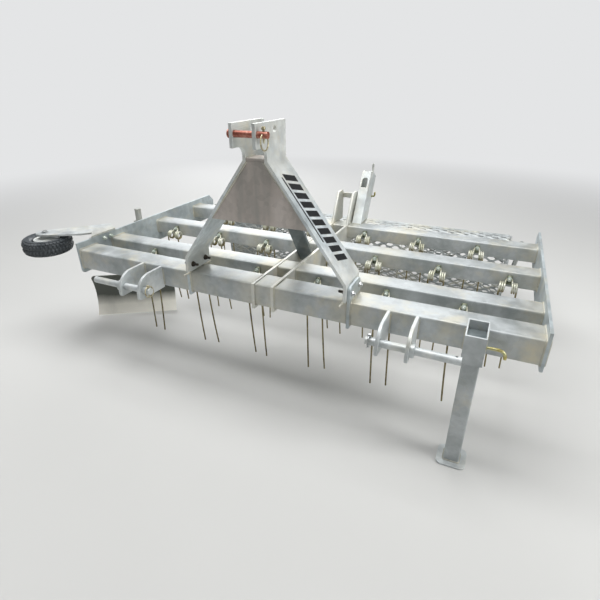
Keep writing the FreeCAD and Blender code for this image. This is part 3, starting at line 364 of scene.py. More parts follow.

# %% [markdown]
# ## Rubber, painted rim, blade and vinyl
# The tyre is moulded rubber with a film of arena dust in its grooves. The rim has light grey
# paint under the same dust. The blade is a galvanised sheet, dark at the top as a painted
# reflection of dark surroundings and pale and warm along its lower edge as painted light. The
# stripes on the arm are plain black vinyl film.

# %% Rubber, paint, sheet and vinyl
def dusty(name, base, dust_and_lit_tone, size_mm, spread, roughness, metallic=0.0, depth_mm=0.2,
          painted_light_levels=None):
    """A plain surface under dusty patches of a second tone; spread is how much of the surface
    the patches take. Given a low and a high level in metres as the last argument, the second
    tone fades out upwards between the two instead: painted light below, a darker first tone
    above."""
    material, tree, place = start(name)
    dust_and_painted_light = add(tree, "TexNoise", pattern(place, size_mm, Detail=5, Roughness=0.65))
    if painted_light_levels:
        # the second tone, on the blade painted light, fades out upwards between the two levels
        height = add(tree, "SeparateXYZ", [place], "Z")
        dust_and_painted_light = add(tree, "Math", [add(tree, "MapRange", [dust_and_painted_light, 0.3, 0.7, -0.12, 0.12]),
                                   add(tree, "MapRange", [height, *painted_light_levels, 1.0, -0.1])],
                    operation="ADD", use_clamp=True)
    else:
        dust_and_painted_light = add(tree, "MapRange", [dust_and_painted_light, 0.62 - spread, 0.78 - spread * 0.5, 0, 0.85])
    grain = add(tree, "TexNoise", pattern(place, size_mm / 8, Detail=4))
    colour = add(tree, "Mix", {0: dust_and_painted_light, 6: linear(base), 7: linear(dust_and_lit_tone)}, 2,
                 data_type="RGBA")
    rough = add(tree, "MapRange", [dust_and_painted_light, 0, 0.85, roughness, min(roughness + 0.25, 1)])
    return surface(material, colour, metallic, rough, grain, depth_mm)


rubber = dusty("moulded_tyre_rubber", "#42474b", "#6b6f72", 60, 0.08, 0.45, depth_mm=0.1)
# light grey rim paint under dust, raised paler than the paint alone as painted light for the sun
# on the rim
rim_paint_and_painted_light = dusty("light_grey_rim_paint_and_painted_light", "#cfd2d1", "#dedcd2", 30, 0.16, 0.4, metallic=0.15)
blade_foot = corners("edge_blade")[0][2]
# dark first tone at the top: a painted reflection of dark surroundings; near white second tone
# at the foot: painted light; the one fades into the other between the two levels
blade_painted_light_and_reflection = dusty("galvanised_blade_painted_light_and_reflection", "#5b5f58", "#fbf8ee", 150, 0.2, 0.5,
                    metallic=0.1, painted_light_levels=(blade_foot + 50 * MM, blade_foot + 120 * MM))
vinyl = dusty("black_vinyl_film", "#17181a", "#3a3c3d", 24, 0.04, 0.4, depth_mm=0.02)

# %% [markdown]
# ## Sections carried along paths
# Tubes, wires, weld beads and pins all are one section carried along a path. At each point of
# the path the tangent and one reference direction give two axes across it, and the section is
# laid out in those. Surfaces turned about an axis are circles of changing radius.

# %% Sweep, turn and box sections
def unit(vectors):
    """Each vector divided by its length."""
    return vectors / np.linalg.norm(vectors, axis=-1, keepdims=True)


def carry(path, section, reference):
    """Rings of a section carried along a path: side = reference x tangent, up = tangent x
    side, and a ring is path + a * side + b * up for the section's points (a, b)."""
    tangent = unit(np.gradient(np.asarray(path, float), axis=0))
    side = unit(np.cross(reference, tangent))
    up = np.cross(tangent, side)
    section = np.broadcast_to(section, (len(path), *np.shape(section)[-2:]))
    return (np.asarray(path)[:, None] + section[..., :1] * side[:, None]
            + section[..., 1:] * up[:, None])


def circle(radius, steps):
    """Points (r cos t, r sin t); radius may be one number or one per ring."""
    t = np.arange(steps) * 2 * math.pi / steps
    return np.asarray(radius, float)[..., None, None] * np.stack([np.cos(t), np.sin(t)], -1)


def rounded_rectangle(low, high, radius):
    """Four quarter circles of one radius, joined by straight sides, counterclockwise."""
    turn = np.radians([0, 90, 180, 270])[:, None] + np.linspace(0, math.pi / 2, 6)
    (a, b), (c, d) = np.add(high, -radius), np.add(low, radius)
    middles = np.array([(a, b), (c, b), (c, d), (a, d)])[:, None]
    return (middles + radius * np.stack([np.cos(turn), np.sin(turn)], -1)).reshape(-1, 2)


# for each axis, the directions of a section's first and second number and of the axis itself
AXES = {"X": np.eye(3)[[1, 2, 0]], "Y": np.eye(3)[[2, 0, 1]], "Z": np.eye(3)}


def laid(section, along, axis, origin=(0, 0, 0)):
    """Origin + a * side + b * up + along * axis for the section's points (a, b)."""
    side, up, forward = AXES[axis]
    return (np.asarray(origin, float) + section[..., :1] * side + section[..., 1:] * up
            + np.asarray(along, float)[..., None, None] * forward)


def stacked(axis, *rows):
    """Rings from rows of (section, height along the axis)."""
    return np.stack([laid(section, height, axis) for section, height in rows])


def turned(shape, profile, centre, axis, steps, closed=False, hexed=()):
    """Circles of radius r at height h for each (r, h) of the profile. Rows named in hexed
    are hexagons: their radius grows by 1 / cos of the angle to the nearest flat's middle."""
    profile = np.asarray(profile, float)
    t = np.arange(steps) * 2 * math.pi / steps
    radius = np.repeat(profile[:, :1], steps, axis=1)
    radius[list(hexed)] *= 1 / np.cos((t + math.pi / 6) % (math.pi / 3) - math.pi / 6)
    ring = np.stack([radius * np.cos(t), radius * np.sin(t)], -1)
    rings = laid(ring, profile[:, 1], axis, centre)
    return shape.grid(rings, wrap_rows=closed, caps=not closed)


def bolt(shape, centre, axis, direction, size, stud=0.0):
    """Washer and hexagon head (or nut, when a stud stands out of it) of a bolt of that size,
    in millimetres; every row of its profile is a share of the size."""
    rows = [(1.05, 0), (1.05, 0.2), (0.8, 0.2), (0.8, 0.75), (0.76, 0.85)]
    if stud:
        rows += [(0.5, 0.85), (0.5, 0.85 + stud / size), (0.42, 0.85 + (stud + 1) / size)]
    return turned(shape, np.array(rows) * size * MM * (1, direction), centre, axis, 24,
                  hexed=(2, 3))


print("section helpers ready")

# %% [markdown]
# ## Box tubes
# The four cross tubes are cold-formed, so their corners are round, about twice the wall in
# radius. That rounding is what gives each tube its soft bright edge line. A plain box with a
# bevel would do, but the tube is open at its ends, so it is a true hollow section here. The
# stand's leg is a smaller tube, open at the foot and closed by a dark cap at the top.

# %% Box tubes
TUBE_WALL, TUBE_ROUND = 5 * MM, 9 * MM
LEG_WALL, LEG_ROUND, LEG_ROUND_INSIDE, LEG_CAP = 4 * MM, 7 * MM, 3.5 * MM, 1 * MM
tubes = {node: corners(node) for node in ("front_beam", "tine_beam_front",
                                          "tine_beam_middle", "tine_beam_rear")}
for node, (low, high) in tubes.items():
    outer = rounded_rectangle(low[1:], high[1:], TUBE_ROUND)
    inner = rounded_rectangle(low[1:] + TUBE_WALL, high[1:] - TUBE_WALL, TUBE_ROUND - TUBE_WALL)
    rings = stacked("X", (outer, low[0]), (outer, high[0]), (inner, high[0]), (inner, low[0]))
    finish_piece(node + "_tube", Shape().grid(rings, wrap_rows=True), zinc, node)

low, high = corners("stand_leg")
outer = rounded_rectangle(low[:2], high[:2], LEG_ROUND)
inner = rounded_rectangle(low[:2] + LEG_WALL, high[:2] - LEG_WALL, LEG_ROUND_INSIDE)
rings = stacked("Z", (inner, high[2] - LEG_WALL), (inner, low[2]), (outer, low[2]),
                (outer, high[2] - LEG_CAP))
finish_piece("stand_leg_tube", Shape().grid(rings, caps=True), zinc, "stand_leg")
cap = rounded_rectangle(low[:2] + LEG_CAP, high[:2] - LEG_CAP, LEG_ROUND - LEG_CAP)
rings = stacked("Z", (cap, high[2] - LEG_CAP), (cap, high[2]))
finish_piece("stand_leg_cap", Shape().grid(rings, caps=True), zinc_dark_grey_and_painted_shade, body="stand_leg")

# %% [markdown]
# ## Plates with eased edges
# Plates are cut from sheet and dipped, so zinc rounds every edge by a millimetre or two and
# the edge catches the light. The CAD mesh of each plate is copied, its loose triangles are
# merged and flat regions joined, and a small bevel is put on every sharp edge.

# %% Eased plates
def eased(node, material, width_mm):
    """Copy of a CAD node with merged points and a bevel of width_mm on its sharp edges."""
    work = bmesh.new()
    work.from_mesh(frame["nodes"][node].data)
    bmesh.ops.remove_doubles(work, verts=work.verts, dist=0.01 * MM)
    bmesh.ops.dissolve_limit(work, angle_limit=math.radians(0.6), verts=work.verts,
                             edges=work.edges)
    mesh = bpy.data.meshes.new(node + "_eased")
    work.to_mesh(mesh)
    work.free()
    piece = finish_piece(node + "_eased", mesh, material, node, sharp=30)
    edge = piece.modifiers.new("eased_edges", "BEVEL")
    edge.width = width_mm * MM
    edge.segments = 2
    edge.limit_method = "ANGLE"
    edge.angle_limit = math.radians(40)
    edge.harden_normals = True


# width of the eased edge in millimetres; a star stands for left and right
EASED = {
    zinc_plate: {"side_plate_*": 2, "headstock_ear_*": 2.5},
    zinc: {"stand_sleeve": 1.5, "shank_sleeve": 2, "roller_arm_*": 2, "roller_crossbar": 1,
           "roller_end_*": 2, "roller_shaft": 2, "blade_shank": 2, "blade_bracket": 1.5,
           "guide_wheel_bracket": 1.5},
    zinc_pale_and_painted_light: {"centre_rib_*": 2, "post_bridge": 1.5, "link_plate_left_inner": 2,
                "link_plate_left_outer": 2, "link_plate_right_inner": 2,
                "link_plate_right_outer": 2, "stand_foot": 2, "guide_wheel_arm": 2.5,
                "adjuster_lever": 1.2, "lower_link_pin_*": 1.5, "roller_bearing_*": 2},
    zinc_painted_light: {"headstock_arm_*": 2.5, "adjuster_guide": 1.5},
    zinc_sheet_painted_reflection: {"headstock_crosspiece": 1.5, "headstock_gusset": 1},
    zinc_dark_grey_and_painted_shade: {"headstock_stay": 2},
    copper_red: {"top_link_pin": 1.5},
}
for material, plates in EASED.items():
    for name, width_mm in plates.items():
        for node in sorted({name.replace("*", side) for side, _ in SIDES}):
            eased(node, material, width_mm)

# %% [markdown]
# ## Weld beads
# Every joint is welded by hand, and a bead looks like a row of overlapping drops. A bead here
# is a small round section carried along the seam, whose radius swells and shrinks a little
# with the distance along it. Beads round a tube follow its rounded outline as a closed loop.

# %% Weld beads
BEAD_STEP, RIPPLE = 3 * MM, 7 * MM


def bead(shape, path, radius_mm=4.5, reference=(0.3, 0.5, 0.8), closed=False):
    """Resample the path evenly, then radius = r (1 + 0.16 sin(2 pi s / ripple + r))."""
    path = np.asarray(path, float)
    if closed:
        path = np.vstack([path, path[:1]])
    lengths = np.concatenate([[0], np.cumsum(np.linalg.norm(np.diff(path, axis=0), axis=1))])
    s = np.linspace(0, lengths[-1], max(int(lengths[-1] / BEAD_STEP), 4) + 1)
    points = np.stack([np.interp(s, lengths, path[:, k]) for k in range(3)], -1)
    swell = radius_mm * MM * (1 + 0.16 * np.sin(s * 2 * math.pi / RIPPLE + radius_mm))
    rings = carry(points, circle(swell, 7), reference)
    shape.grid(rings[:-1] if closed else rings, wrap_rows=closed, caps=not closed)


def round_tube(shape, x, node, radius_mm=4.5):
    """Bead round a cross tube in the plane at x."""
    low, high = tubes[node]
    outline = rounded_rectangle(low[1:], high[1:], TUBE_ROUND)
    bead(shape, laid(outline, x, "X"), radius_mm, (1, 0, 0), closed=True)


sides = Shape()
for side, sign in SIDES:
    faces = [corner[0] for corner in corners("side_plate_" + side)][::sign]
    for node in tubes:
        for x, radius_mm in zip(faces, (5, 3.2)):
            round_tube(sides, x, node, radius_mm)
finish_piece("side_plate_welds", sides, weld_zinc, sharp=80)

middle = Shape()
for side, sign in SIDES:
    x = corners("centre_rib_" + side)[sign > 0][0]
    for node in tubes:
        round_tube(middle, x, node)
for side, _ in SIDES:
    for corner in corners("headstock_ear_" + side):
        round_tube(middle, corner[0], "front_beam")
finish_piece("centre_welds", middle, weld_zinc, sharp=80)

# %% Welds of the brackets, the headstock, the stand and the sleeves
ARM_PLATE, ARM_ACROSS = 12 * MM, 15.5 * MM
BEND_LOW, BEND_HIGH = TOP + 71 * MM, TOP + 474 * MM
arm_low, arm_high = corners("headstock_arm_right")
neck = corners("centre_rib_right")[1][0] - MIDDLE
foot = arm_high[0] - MIDDLE


def inside(z):
    """Distance from the middle to the inner face of the sloping arm at a height: a line from
    the foot up to the neck, less what the plate measures across."""
    return neck + (BEND_HIGH - z) * (foot - neck) / (BEND_HIGH - BEND_LOW) - ARM_ACROSS


def upright(x, y, low_z, high_z, radius_mm=4.5):
    """Bead straight up from low_z to high_z."""
    bead(seams, [(x, y, low_z), (x, y, high_z)], radius_mm)


seams = Shape()
for side, _ in SIDES:
    for where in ("inner", "outer"):
        low, high = corners(f"link_plate_{side}_{where}")
        for x in (low[0], high[0]):
            upright(x, FRONT, low[2] + 12 * MM, TOP - 12 * MM, 5)
low, high = corners("stand_sleeve")
for x in (low[0], high[0]):
    upright(x, FRONT, low[2] + 14 * MM, TOP - 10 * MM)
gusset_low, gusset_high = corners("headstock_gusset")
for _, sign in SIDES:
    for y in (gusset_low[1], gusset_high[1]):
        bead(seams, [(MIDDLE + sign * inside(z), y, z + end)
                     for z, end in ((gusset_low[2], 4 * MM), (gusset_high[2], -4 * MM))], 4)
    x = MIDDLE + sign * (foot - ARM_PLATE)
    for y in (arm_low[1] + 50 * MM, arm_high[1] - 30 * MM):
        bead(seams, [(x, y - 20 * MM, TOP + 3 * MM), (x, y + 30 * MM, TOP + 3 * MM)], 4)
low, high = corners("headstock_crosspiece")
for z in (high[2], low[2]):
    for x in (low[0], high[0]):
        bead(seams, [(x, low[1] + 6 * MM, z), (x, high[1] - 6 * MM, z)], 3.2)
low, high = corners("post_bridge")
for x in (low[0], high[0]):
    upright(x, low[1], low[2] + 3 * MM, high[2] - 3 * MM, 3)
low, high = corners("adjuster_guide")
x, y, z = low
for start_at, end_at in (((x, y + 10 * MM, z), (x, y + 110 * MM, z)),
                         ((x + 4 * MM, y, z), (high[0] - 4 * MM, y, z)),
                         ((high[0], y + 10 * MM, z), (high[0], y + 110 * MM, z))):
    bead(seams, [start_at, end_at], 4)
low, high = corners("shank_sleeve")
for y in (low[1], high[1]):
    upright(high[0], y, low[2] + 20 * MM, high[2] - 20 * MM)
finish_piece("bracket_welds", seams, weld_zinc, sharp=80)

foot_seam = Shape()
low, high = corners("stand_leg")
outline = rounded_rectangle(low[:2], high[:2], LEG_ROUND)
bead(foot_seam, laid(outline, low[2], "Z"), 4, (0, 0, 1), closed=True)
finish_piece("stand_foot_weld", foot_seam, weld_zinc, body="stand_leg", sharp=80)

BAR_RADIUS = 30 * MM
bar_seams = Shape()
bar_centre = sum(corners("roller_crossbar")) / 2
for side, _ in SIDES:
    for corner in corners("roller_arm_" + side):
        ring = laid(circle(BAR_RADIUS, 40), corner[0], "X", (0, *bar_centre[1:]))
        bead(bar_seams, ring, 4, (1, 0, 0), closed=True)
finish_piece("roller_frame_welds", bar_seams, weld_zinc, body="roller_frame", sharp=80)

# %% [markdown]
# ## Spring tines
# A double tine is one wire: a straight leg comes up, winds into a coil of a little over two
# open turns, crosses to the other side under the clamp, winds the second coil the other way
# and goes down as the second leg. The wire's middle line is written down as a curve: a
# straight line, a helix and a bow. Legs that have worked in sand are never quite straight or
# parallel, so a seeded random number leans each of them a few degrees, and the two outermost
# tines of the front row, which stand apart in the real machine, get a lean of their own. The
# clamp is a pressed plate over the bow, and one bolt holds it to the beam.

# %% Spring tines
WIRE, COIL, TURNS = 3.7 * MM, 20.5 * MM, 2.25
COIL_STEPS, BOW_STEPS, LEG_STEPS = 64, 14, 14
COIL_OUT, COIL_DROP = 26 * MM, 61 * MM
OUTER_END, INNER_END = 33.8 * MM, 14 * MM
BOW_GAP, BOW_RISE, LEG_CURVE = 5 * MM, 22 * MM, 0.6
SWEEP = math.tan(math.radians(5))
SPREAD_X, SPREAD_Y = 10 * MM, 8 * MM
EDGE_GAP, MIDDLE_ROW_LAST = 130 * MM, 96 * MM
PITCH = (corners("side_plate_right")[0][0] - MIDDLE - EDGE_GAP) / 3
HALVES = (-0.5, 0.5, -1.5, 1.5, -2.5, 2.5)
ROW_STEPS = {"front": HALVES, "middle": (-1, 1, -2, 2, -3, 3, MIDDLE_ROW_LAST / PITCH),
             "rear": HALVES}
OUTER_LEAN = {("front", -2.5): -22 * MM, ("front", 2.5): 34 * MM}
random = np.random.default_rng(7)


def half_wire(sign, x, face, coil_z, tip_z, lean_x, lean_y):
    """Middle line of one half of a tine, from its tip to the middle of the bow.
    Leg: a line from the tip to the coil's front, bowed by k (k - 1) along its length k.
    Coil: y = yc - R cos p, z = zc + R sin p, while x runs evenly from the outer end inwards.
    Bow: a smooth arc from the coil's top back and up behind the clamp."""
    coil_y = face - COIL_OUT
    outer, inner = x + sign * OUTER_END, x + sign * INNER_END
    k = np.linspace(0, 1, LEG_STEPS)[:-1, None]
    front = np.array([outer, coil_y - COIL, coil_z])
    tip = np.array([outer + lean_x, coil_y - COIL + lean_y, tip_z])
    leg = tip * (1 - k) + front * k
    leg[:, :2] += (tip - front)[:2] * (k * (k - 1)) * LEG_CURVE
    p = np.linspace(0, TURNS * 2 * math.pi, COIL_STEPS)
    coil = np.stack([outer + (inner - outer) * p / p[-1], coil_y - COIL * np.cos(p),
                     coil_z + COIL * np.sin(p)], -1)
    q = np.linspace(0, math.pi / 2, BOW_STEPS)[1:]
    bow = np.stack([x + (inner - x) * np.cos(q),
                    coil_y + (face - BOW_GAP - coil_y) * np.sin(q * 0.999),
                    coil_z + COIL + BOW_RISE * np.sin(q) ** 2], -1)
    return np.vstack([leg, coil, bow])


def clamp(plates, bolts, x, face, height):
    """Pressed plate, a rounded rectangle that shrinks towards its front, and its bolt."""
    low_z, high_z = height - 54 * MM, height - 16 * MM
    outline = rounded_rectangle((x - 10.5 * MM, low_z), (x + 10.5 * MM, high_z), 4 * MM)
    centre = np.array([x, (low_z + high_z) / 2])
    rings = []
    for depth, scale in ((0.5, 1), (10, 1), (12, 14 / 15), (12.4, 5 / 6)):
        flat = centre + (outline - centre) * scale
        rings.append(np.insert(flat, 1, face - depth * MM, axis=1))
    plates.grid(np.array(rings), caps=True)
    bolt(bolts, (x, face - 12 * MM, height - 28 * MM), "Y", -1, 10, 7)


for row, steps in ROW_STEPS.items():
    low, high = corners("tines_" + row)
    beam = tubes["tine_beam_" + row]
    face, height = beam[0][1], beam[1][2]
    coil_z = height - COIL_DROP
    wires, plates, bolts = Shape(), Shape(), Shape()
    for step in steps:
        x = (low[0] + high[0]) / 2 + step * PITCH
        for sign in (-1, 1):
            lean_x = random.normal(0, SPREAD_X) + OUTER_LEAN.get((row, step), 0)
            lean_y = random.normal(0, SPREAD_Y) + (coil_z - low[2]) * SWEEP
            line = half_wire(sign, x, face, coil_z, low[2], lean_x, lean_y)
            wires.grid(carry(line, circle(WIRE, 9), (1, 0.02, 0.01)), caps=True)
        clamp(plates, bolts, x, face, height)
    finish_piece(f"tines_{row}_wire", wires, spring_wire, "tines_" + row, sharp=60)
    finish_piece("tine_clamps_" + row, plates, clamp_zinc, slot="yellow_zinc_steel")
    finish_piece("tine_bolts_" + row, bolts, nut_zinc, slot="yellow_zinc_steel")

# %% [markdown]
# ## Roller of expanded metal
# Expanded metal starts as a plain sheet. It is slit and pulled, so that the strips between
# the slits bend into zigzags that stay joined at every second turn and leave diamond
# openings. The roller skin is that sheet rolled up. Each zigzag strip is one long ribbon
# here: its angle round the roller jumps between two neighbouring values, station by station,
# and neighbouring ribbons meet where they jump towards each other.

# %% Roller skin
RIBBONS, DIAMOND, SKIN_INSET = 72, 84 * MM, 4 * MM
STRAND, HALF_WIDTH, HALF_THICK, TILT = 5 * MM, 5.4 * MM, 1.6 * MM, math.radians(28)
low, high = corners("roller_mesh")
roller_centre = (low + high) / 2
roller_radius = (high[2] - low[2]) / 2
stations = int(round((high[0] - low[0]) / (DIAMOND / 2)))
edges = np.linspace(low[0] + SKIN_INSET, high[0] - SKIN_INSET, stations + 1)
# every station has two points, a bond's length apart, but the first and last have one
bond = 0.22 * (edges[1] - edges[0])
along = np.stack([edges - bond, edges + bond], -1).ravel()[1:-1]
station = np.repeat(np.arange(stations + 1), 2)[1:-1]
ribbon = np.arange(RIBBONS)[:, None]
odd = (station + ribbon) % 2
# strands keep clear of each other's middle by half a strand, except at the bonds
lean_in = (0.5 - odd) * 0.9 * STRAND / roller_radius
angle = (ribbon + odd) * 2 * math.pi / RIBBONS + lean_in
section = np.array([[-1, -1], [1, -1], [1, 1], [-1, 1]]) * (HALF_WIDTH, HALF_THICK)
section = section @ np.array([[math.cos(TILT), math.sin(TILT)],
                              [-math.sin(TILT), math.cos(TILT)]])
mid_radius = roller_radius - np.abs(section[:, 1]).max() - 0.2 * MM
theta = angle[:, :, None] + section[:, 0] / mid_radius
radius = mid_radius + section[:, 1]
ribbons = np.stack(np.broadcast_arrays(along[:, None], roller_centre[1] + radius * np.sin(theta),
                                       roller_centre[2] + radius * np.cos(theta)), -1)
skin = Shape()
for rings in ribbons:
    skin.grid(rings, caps=True)
finish_piece("roller_skin", skin, zinc, "roller_mesh", sharp=30)

# %% [markdown]
# ## Roller end rings
# The skin is welded to a ring at each end and at two places inside, which keep it round.

# %% Roller rings
HOOP_INSIDE, HOOP_OUTSIDE = roller_radius - 22 * MM, roller_radius - 5.5 * MM
HALF_HOOP, INNER_HOOP = 3 * MM, 600 * MM
profile = [(HOOP_INSIDE, -HALF_HOOP), (HOOP_OUTSIDE, -HALF_HOOP), (HOOP_OUTSIDE, HALF_HOOP),
           (HOOP_INSIDE, HALF_HOOP)]
hoops = Shape()
for x in (low[0] + SKIN_INSET, low[0] + INNER_HOOP, high[0] - INNER_HOOP,
          high[0] - SKIN_INSET):
    turned(hoops, profile, (x, *roller_centre[1:]), "X", 96, closed=True)
finish_piece("roller_hoops", hoops, zinc, body="roller", sharp=30)

# %% [markdown]
# ## Guide wheel
# The wheel lies flat, outside the front corner, and rolls along the arena's kick board. Its
# tyre has a block tread. The tyre is a torus whose section is a rounded box, and the tread is
# a height that depends on the two angles of the torus: blocks stand between grooves.

# %% Tyre
low, high = corners("guide_wheel_tyre")
wheel_centre = (low + high) / 2
wheel_radius, half_height = (high[0] - low[0]) / 2, (high[2] - low[2]) / 2
RIM, TREAD_DEPTH = 58.5 * MM, 6 * MM
AROUND, ACROSS, BLOCKS, ROW_DEGREES = 720, 84, 40, 32
u = np.arange(AROUND)[:, None] * 2 * math.pi / AROUND
v = np.arange(ACROSS)[None, :] * 2 * math.pi / ACROSS - math.pi


def soft_power(value, power):
    """The size of a value to a power, with its sign kept: below 1 it squares a circle."""
    return np.sign(value) * np.abs(value) ** power


def plateau(phase, edge):
    """1 inside a block and 0 in the groove, with a short ramp; phase runs from 0 to 1."""
    return np.clip((0.5 - np.abs(phase - 0.5)) / edge - 0.55, 0, 1)


lateral = np.degrees(v)
row = (lateral + 2 * ROW_DEGREES) / ROW_DEGREES
shift = np.where(np.floor(row) % 2 == 0, 0, 0.5) + np.abs(lateral) / 260
blocks = plateau((u * BLOCKS / (2 * math.pi) + shift) % 1, 0.16) * plateau(row % 1, 0.12)
# the tread fades at 70 degrees from the tyre's middle, and the side walls begin at 104
height = 1 - np.clip((70 - np.abs(lateral)) / 6, 0, 1) * (1 - blocks)
height = height * np.clip((104 - np.abs(lateral)) / 30, 0, 1)
swell = (wheel_radius - RIM) / 2 - TREAD_DEPTH * (1 - height)
lift = half_height - TREAD_DEPTH * 0.5 * (1 - height)
r = (wheel_radius + RIM) / 2 + swell * soft_power(np.cos(v), 0.72)
z = lift * soft_power(np.sin(v), 0.78)
rings = wheel_centre + np.stack(np.broadcast_arrays(r * np.cos(u), r * np.sin(u), z), -1)
finish_piece("guide_wheel_tyre_treaded", Shape().grid(rings, wrap_rows=True), rubber,
             "guide_wheel_tyre", sharp=28)

# %% [markdown]
# ## Rim and axle
# The rim is pressed from two sheets that four small bolts hold together round the hub. Rim and
# hub are one profile of radius and height in millimetres, turned about the wheel's axis. The
# axle is a bolt with its head above the arm and a nut below the hub.

# %% Rim, hub and axle
low, high = corners("guide_wheel_rim")
hub = (high[2] - low[2]) / 2 / MM
profile = [(8.2, -hub), (17, -hub), (18, -hub + 2), (18, -9), (24, -5), (36, -5), (43, -9),
           (48, -17), (50, -25), (55, -29), (60, -29.5), (61, -27), (57.5, -25), (53, -20),
           (52, -10), (52, 10), (53, 20), (57.5, 25), (61, 27), (60, 29.5), (55, 29.5),
           (51, 27), (47, 27.5), (42, 30.5), (33, 33.5), (22, 34.5), (19, 35), (18, hub - 1),
           (17, hub), (8.2, hub)]
rim = turned(Shape(), np.array(profile) * MM, wheel_centre, "Z", 72, closed=True)
QUARTERS = np.radians([45, 135, 225, 315])
for t in QUARTERS:
    spot = wheel_centre + np.array([33 * math.cos(t), 33 * math.sin(t), -5]) * MM
    bolt(rim, spot, "Z", -1, 7, 2)
valve = wheel_centre + np.array([(-46, 12, 24 + 4 * s) for s in range(4)]) * MM
rim.grid(carry(valve, circle(np.array([3, 3, 2.6, 2.2]) * MM, 10), (1, 0, 0)), caps=True)
finish_piece("guide_wheel_rim_pressed", rim, rim_paint_and_painted_light, "guide_wheel_rim", sharp=35)

low, high = corners("guide_wheel_axle")
arm_top = corners("guide_wheel_arm")[1][2]
nut_top = wheel_centre[2] - (hub + 0.6) * MM
rod = [(6.5 * MM, low[2]), (8 * MM, low[2] + 1.5 * MM), (8 * MM, high[2] - 1.5 * MM),
       (6.5 * MM, high[2])]
axle = turned(Shape(), rod, (*wheel_centre[:2], 0), "Z", 32)
for z, rows in ((arm_top, [(17, 0), (17, 1.2), (12, 1.2), (12, 7), (11, 7.8)]),
                (nut_top, [(13, 0), (13, -1.5), (12, -1.5), (12, -9), (11, -10)])):
    turned(axle, np.array(rows) * MM, (*wheel_centre[:2], z), "Z", 24, hexed=(2, 3))
finish_piece("guide_wheel_axle_bolt", axle, bright_zinc, "guide_wheel_axle", sharp=35)

# %% [markdown]
# ## Edge blade
# The blade is a strip rolled to a shallow arc, hollow towards the front, and bolted at an
# angle beside the frame. Its section is one arc and the same arc pushed back by the
# thickness, carried along the blade's length. The upper corner at the free end is round: near
# it the arc ends lower, by the height of a quarter circle.

# %% Edge blade
low, high = corners("edge_blade")
BLADE_ANGLE, BLADE_LENGTH = math.radians(31.8), 452 * MM
BLADE_THICK, BLADE_SAG, CORNER = 6 * MM, 42 * MM, 26 * MM
cos_blade, sin_blade = math.cos(BLADE_ANGLE), math.sin(BLADE_ANGLE)
half = (high[2] - low[2]) / 2
arc_radius = (half ** 2 + BLADE_SAG ** 2) / (2 * BLADE_SAG)
s = np.concatenate([CORNER * (1 - np.cos(np.linspace(0, math.pi / 2, 9))),
                    np.linspace(CORNER, BLADE_LENGTH, 12)[1:]])
cut_off = CORNER - np.sqrt(CORNER ** 2 - np.clip(CORNER - s, 0, None) ** 2)
rise = np.linspace(0, 1, 25)[None, :] * (2 * half - cut_off[:, None])
sag = (np.sqrt(arc_radius ** 2 - (rise - half) ** 2)
       - math.sqrt(arc_radius ** 2 - half ** 2))
back = np.concatenate([sag, sag[:, ::-1] + BLADE_THICK], axis=1)
level = np.concatenate([rise, rise[:, ::-1]], axis=1) + low[2]
start_x = low[0] + (BLADE_THICK + BLADE_SAG) * sin_blade
rings = np.stack([start_x + s[:, None] * cos_blade - back * sin_blade,
                  low[1] + s[:, None] * sin_blade + back * cos_blade, level], -1)
finish_piece("edge_blade_sheet", Shape().grid(rings, caps=True), blade_painted_light_and_reflection, "edge_blade",
             sharp=35)

# %% [markdown]
# ## Linch pins
# A linch pin is a short pin with a flat head, through which a sprung ring of wire goes. The
# ring snaps over the shaft and keeps the pin in, or hangs down when it is left open. The ring
# is a circle about the shaft's axis, moved down by its hang and swung out by its tilt.

# %% Linch pins
RING_WIRE, RING_OPENING = 2.6 * MM, 0.12


def linch_pin(node, tilt, hang_mm, radius_mm, material):
    """Ring: y = R sin t, z = R cos t - hang, x = tilt R (1 - cos t) / 2."""
    low, high = corners(node)
    centre = (low + high) / 2
    tip, head = low[2] / MM, high[2] / MM
    rows = [(1.6, tip), (3.6, tip + 4), (4, tip + 6), (4, head - 11), (6.5, head - 10),
            (6.8, head - 3), (5, head)]
    pin = turned(Shape(), np.array(rows) * MM, (*centre[:2], 0), "Z", 20)
    t = np.linspace(RING_OPENING, 2 * math.pi - RING_OPENING, 60)
    ring = np.stack([tilt * (1 - np.cos(t)) / 2, np.sin(t), np.cos(t)], -1) * radius_mm * MM
    path = centre + ring - (0, 0, hang_mm * MM)
    pin.grid(carry(path, circle(RING_WIRE, 9), (1, 0, 0)), caps=True)
    finish_piece(node + "_sprung", pin, material, node, sharp=45)


linch_pin("lower_linchpin_left", 0.25, 3, 22.5, straw_zinc)
linch_pin("lower_linchpin_right", -0.2, 1, 22.5, bright_zinc)
linch_pin("top_linchpin", 0.12, 22, 25, straw_zinc)

# %% [markdown]
# ## Bent pins
# The stand's pin and the adjuster's pin are round rods bent to a handle. Their middle line
# is a straight piece, a quarter bend and another straight piece, and the ends are domed.

# %% Bent pins
def bent_rod(shape, start_point, up, out, bend, rest, radius_mm):
    """Run of a length out along x, a quarter bend, then a run of a length rest up or down."""
    first, second = np.array([1.0, 0, 0]), np.array([0, 0, float(up)])
    t = np.linspace(0, math.pi / 2, 12)[:, None]
    corner = start_point + first * (out - bend)
    turn = corner + bend * (first * np.sin(t) + second * (1 - np.cos(t)))
    tail = turn[-1] + second * np.linspace(0.1, 1, 6)[:, None] * rest
    path = np.vstack([start_point, start_point + first * (out - bend) * 0.5, turn, tail])
    radius = np.full(len(path), radius_mm * MM)
    radius[[0, -1]] *= 0.6
    return shape.grid(carry(path, circle(radius, 14), np.cross(first, second)), caps=True)


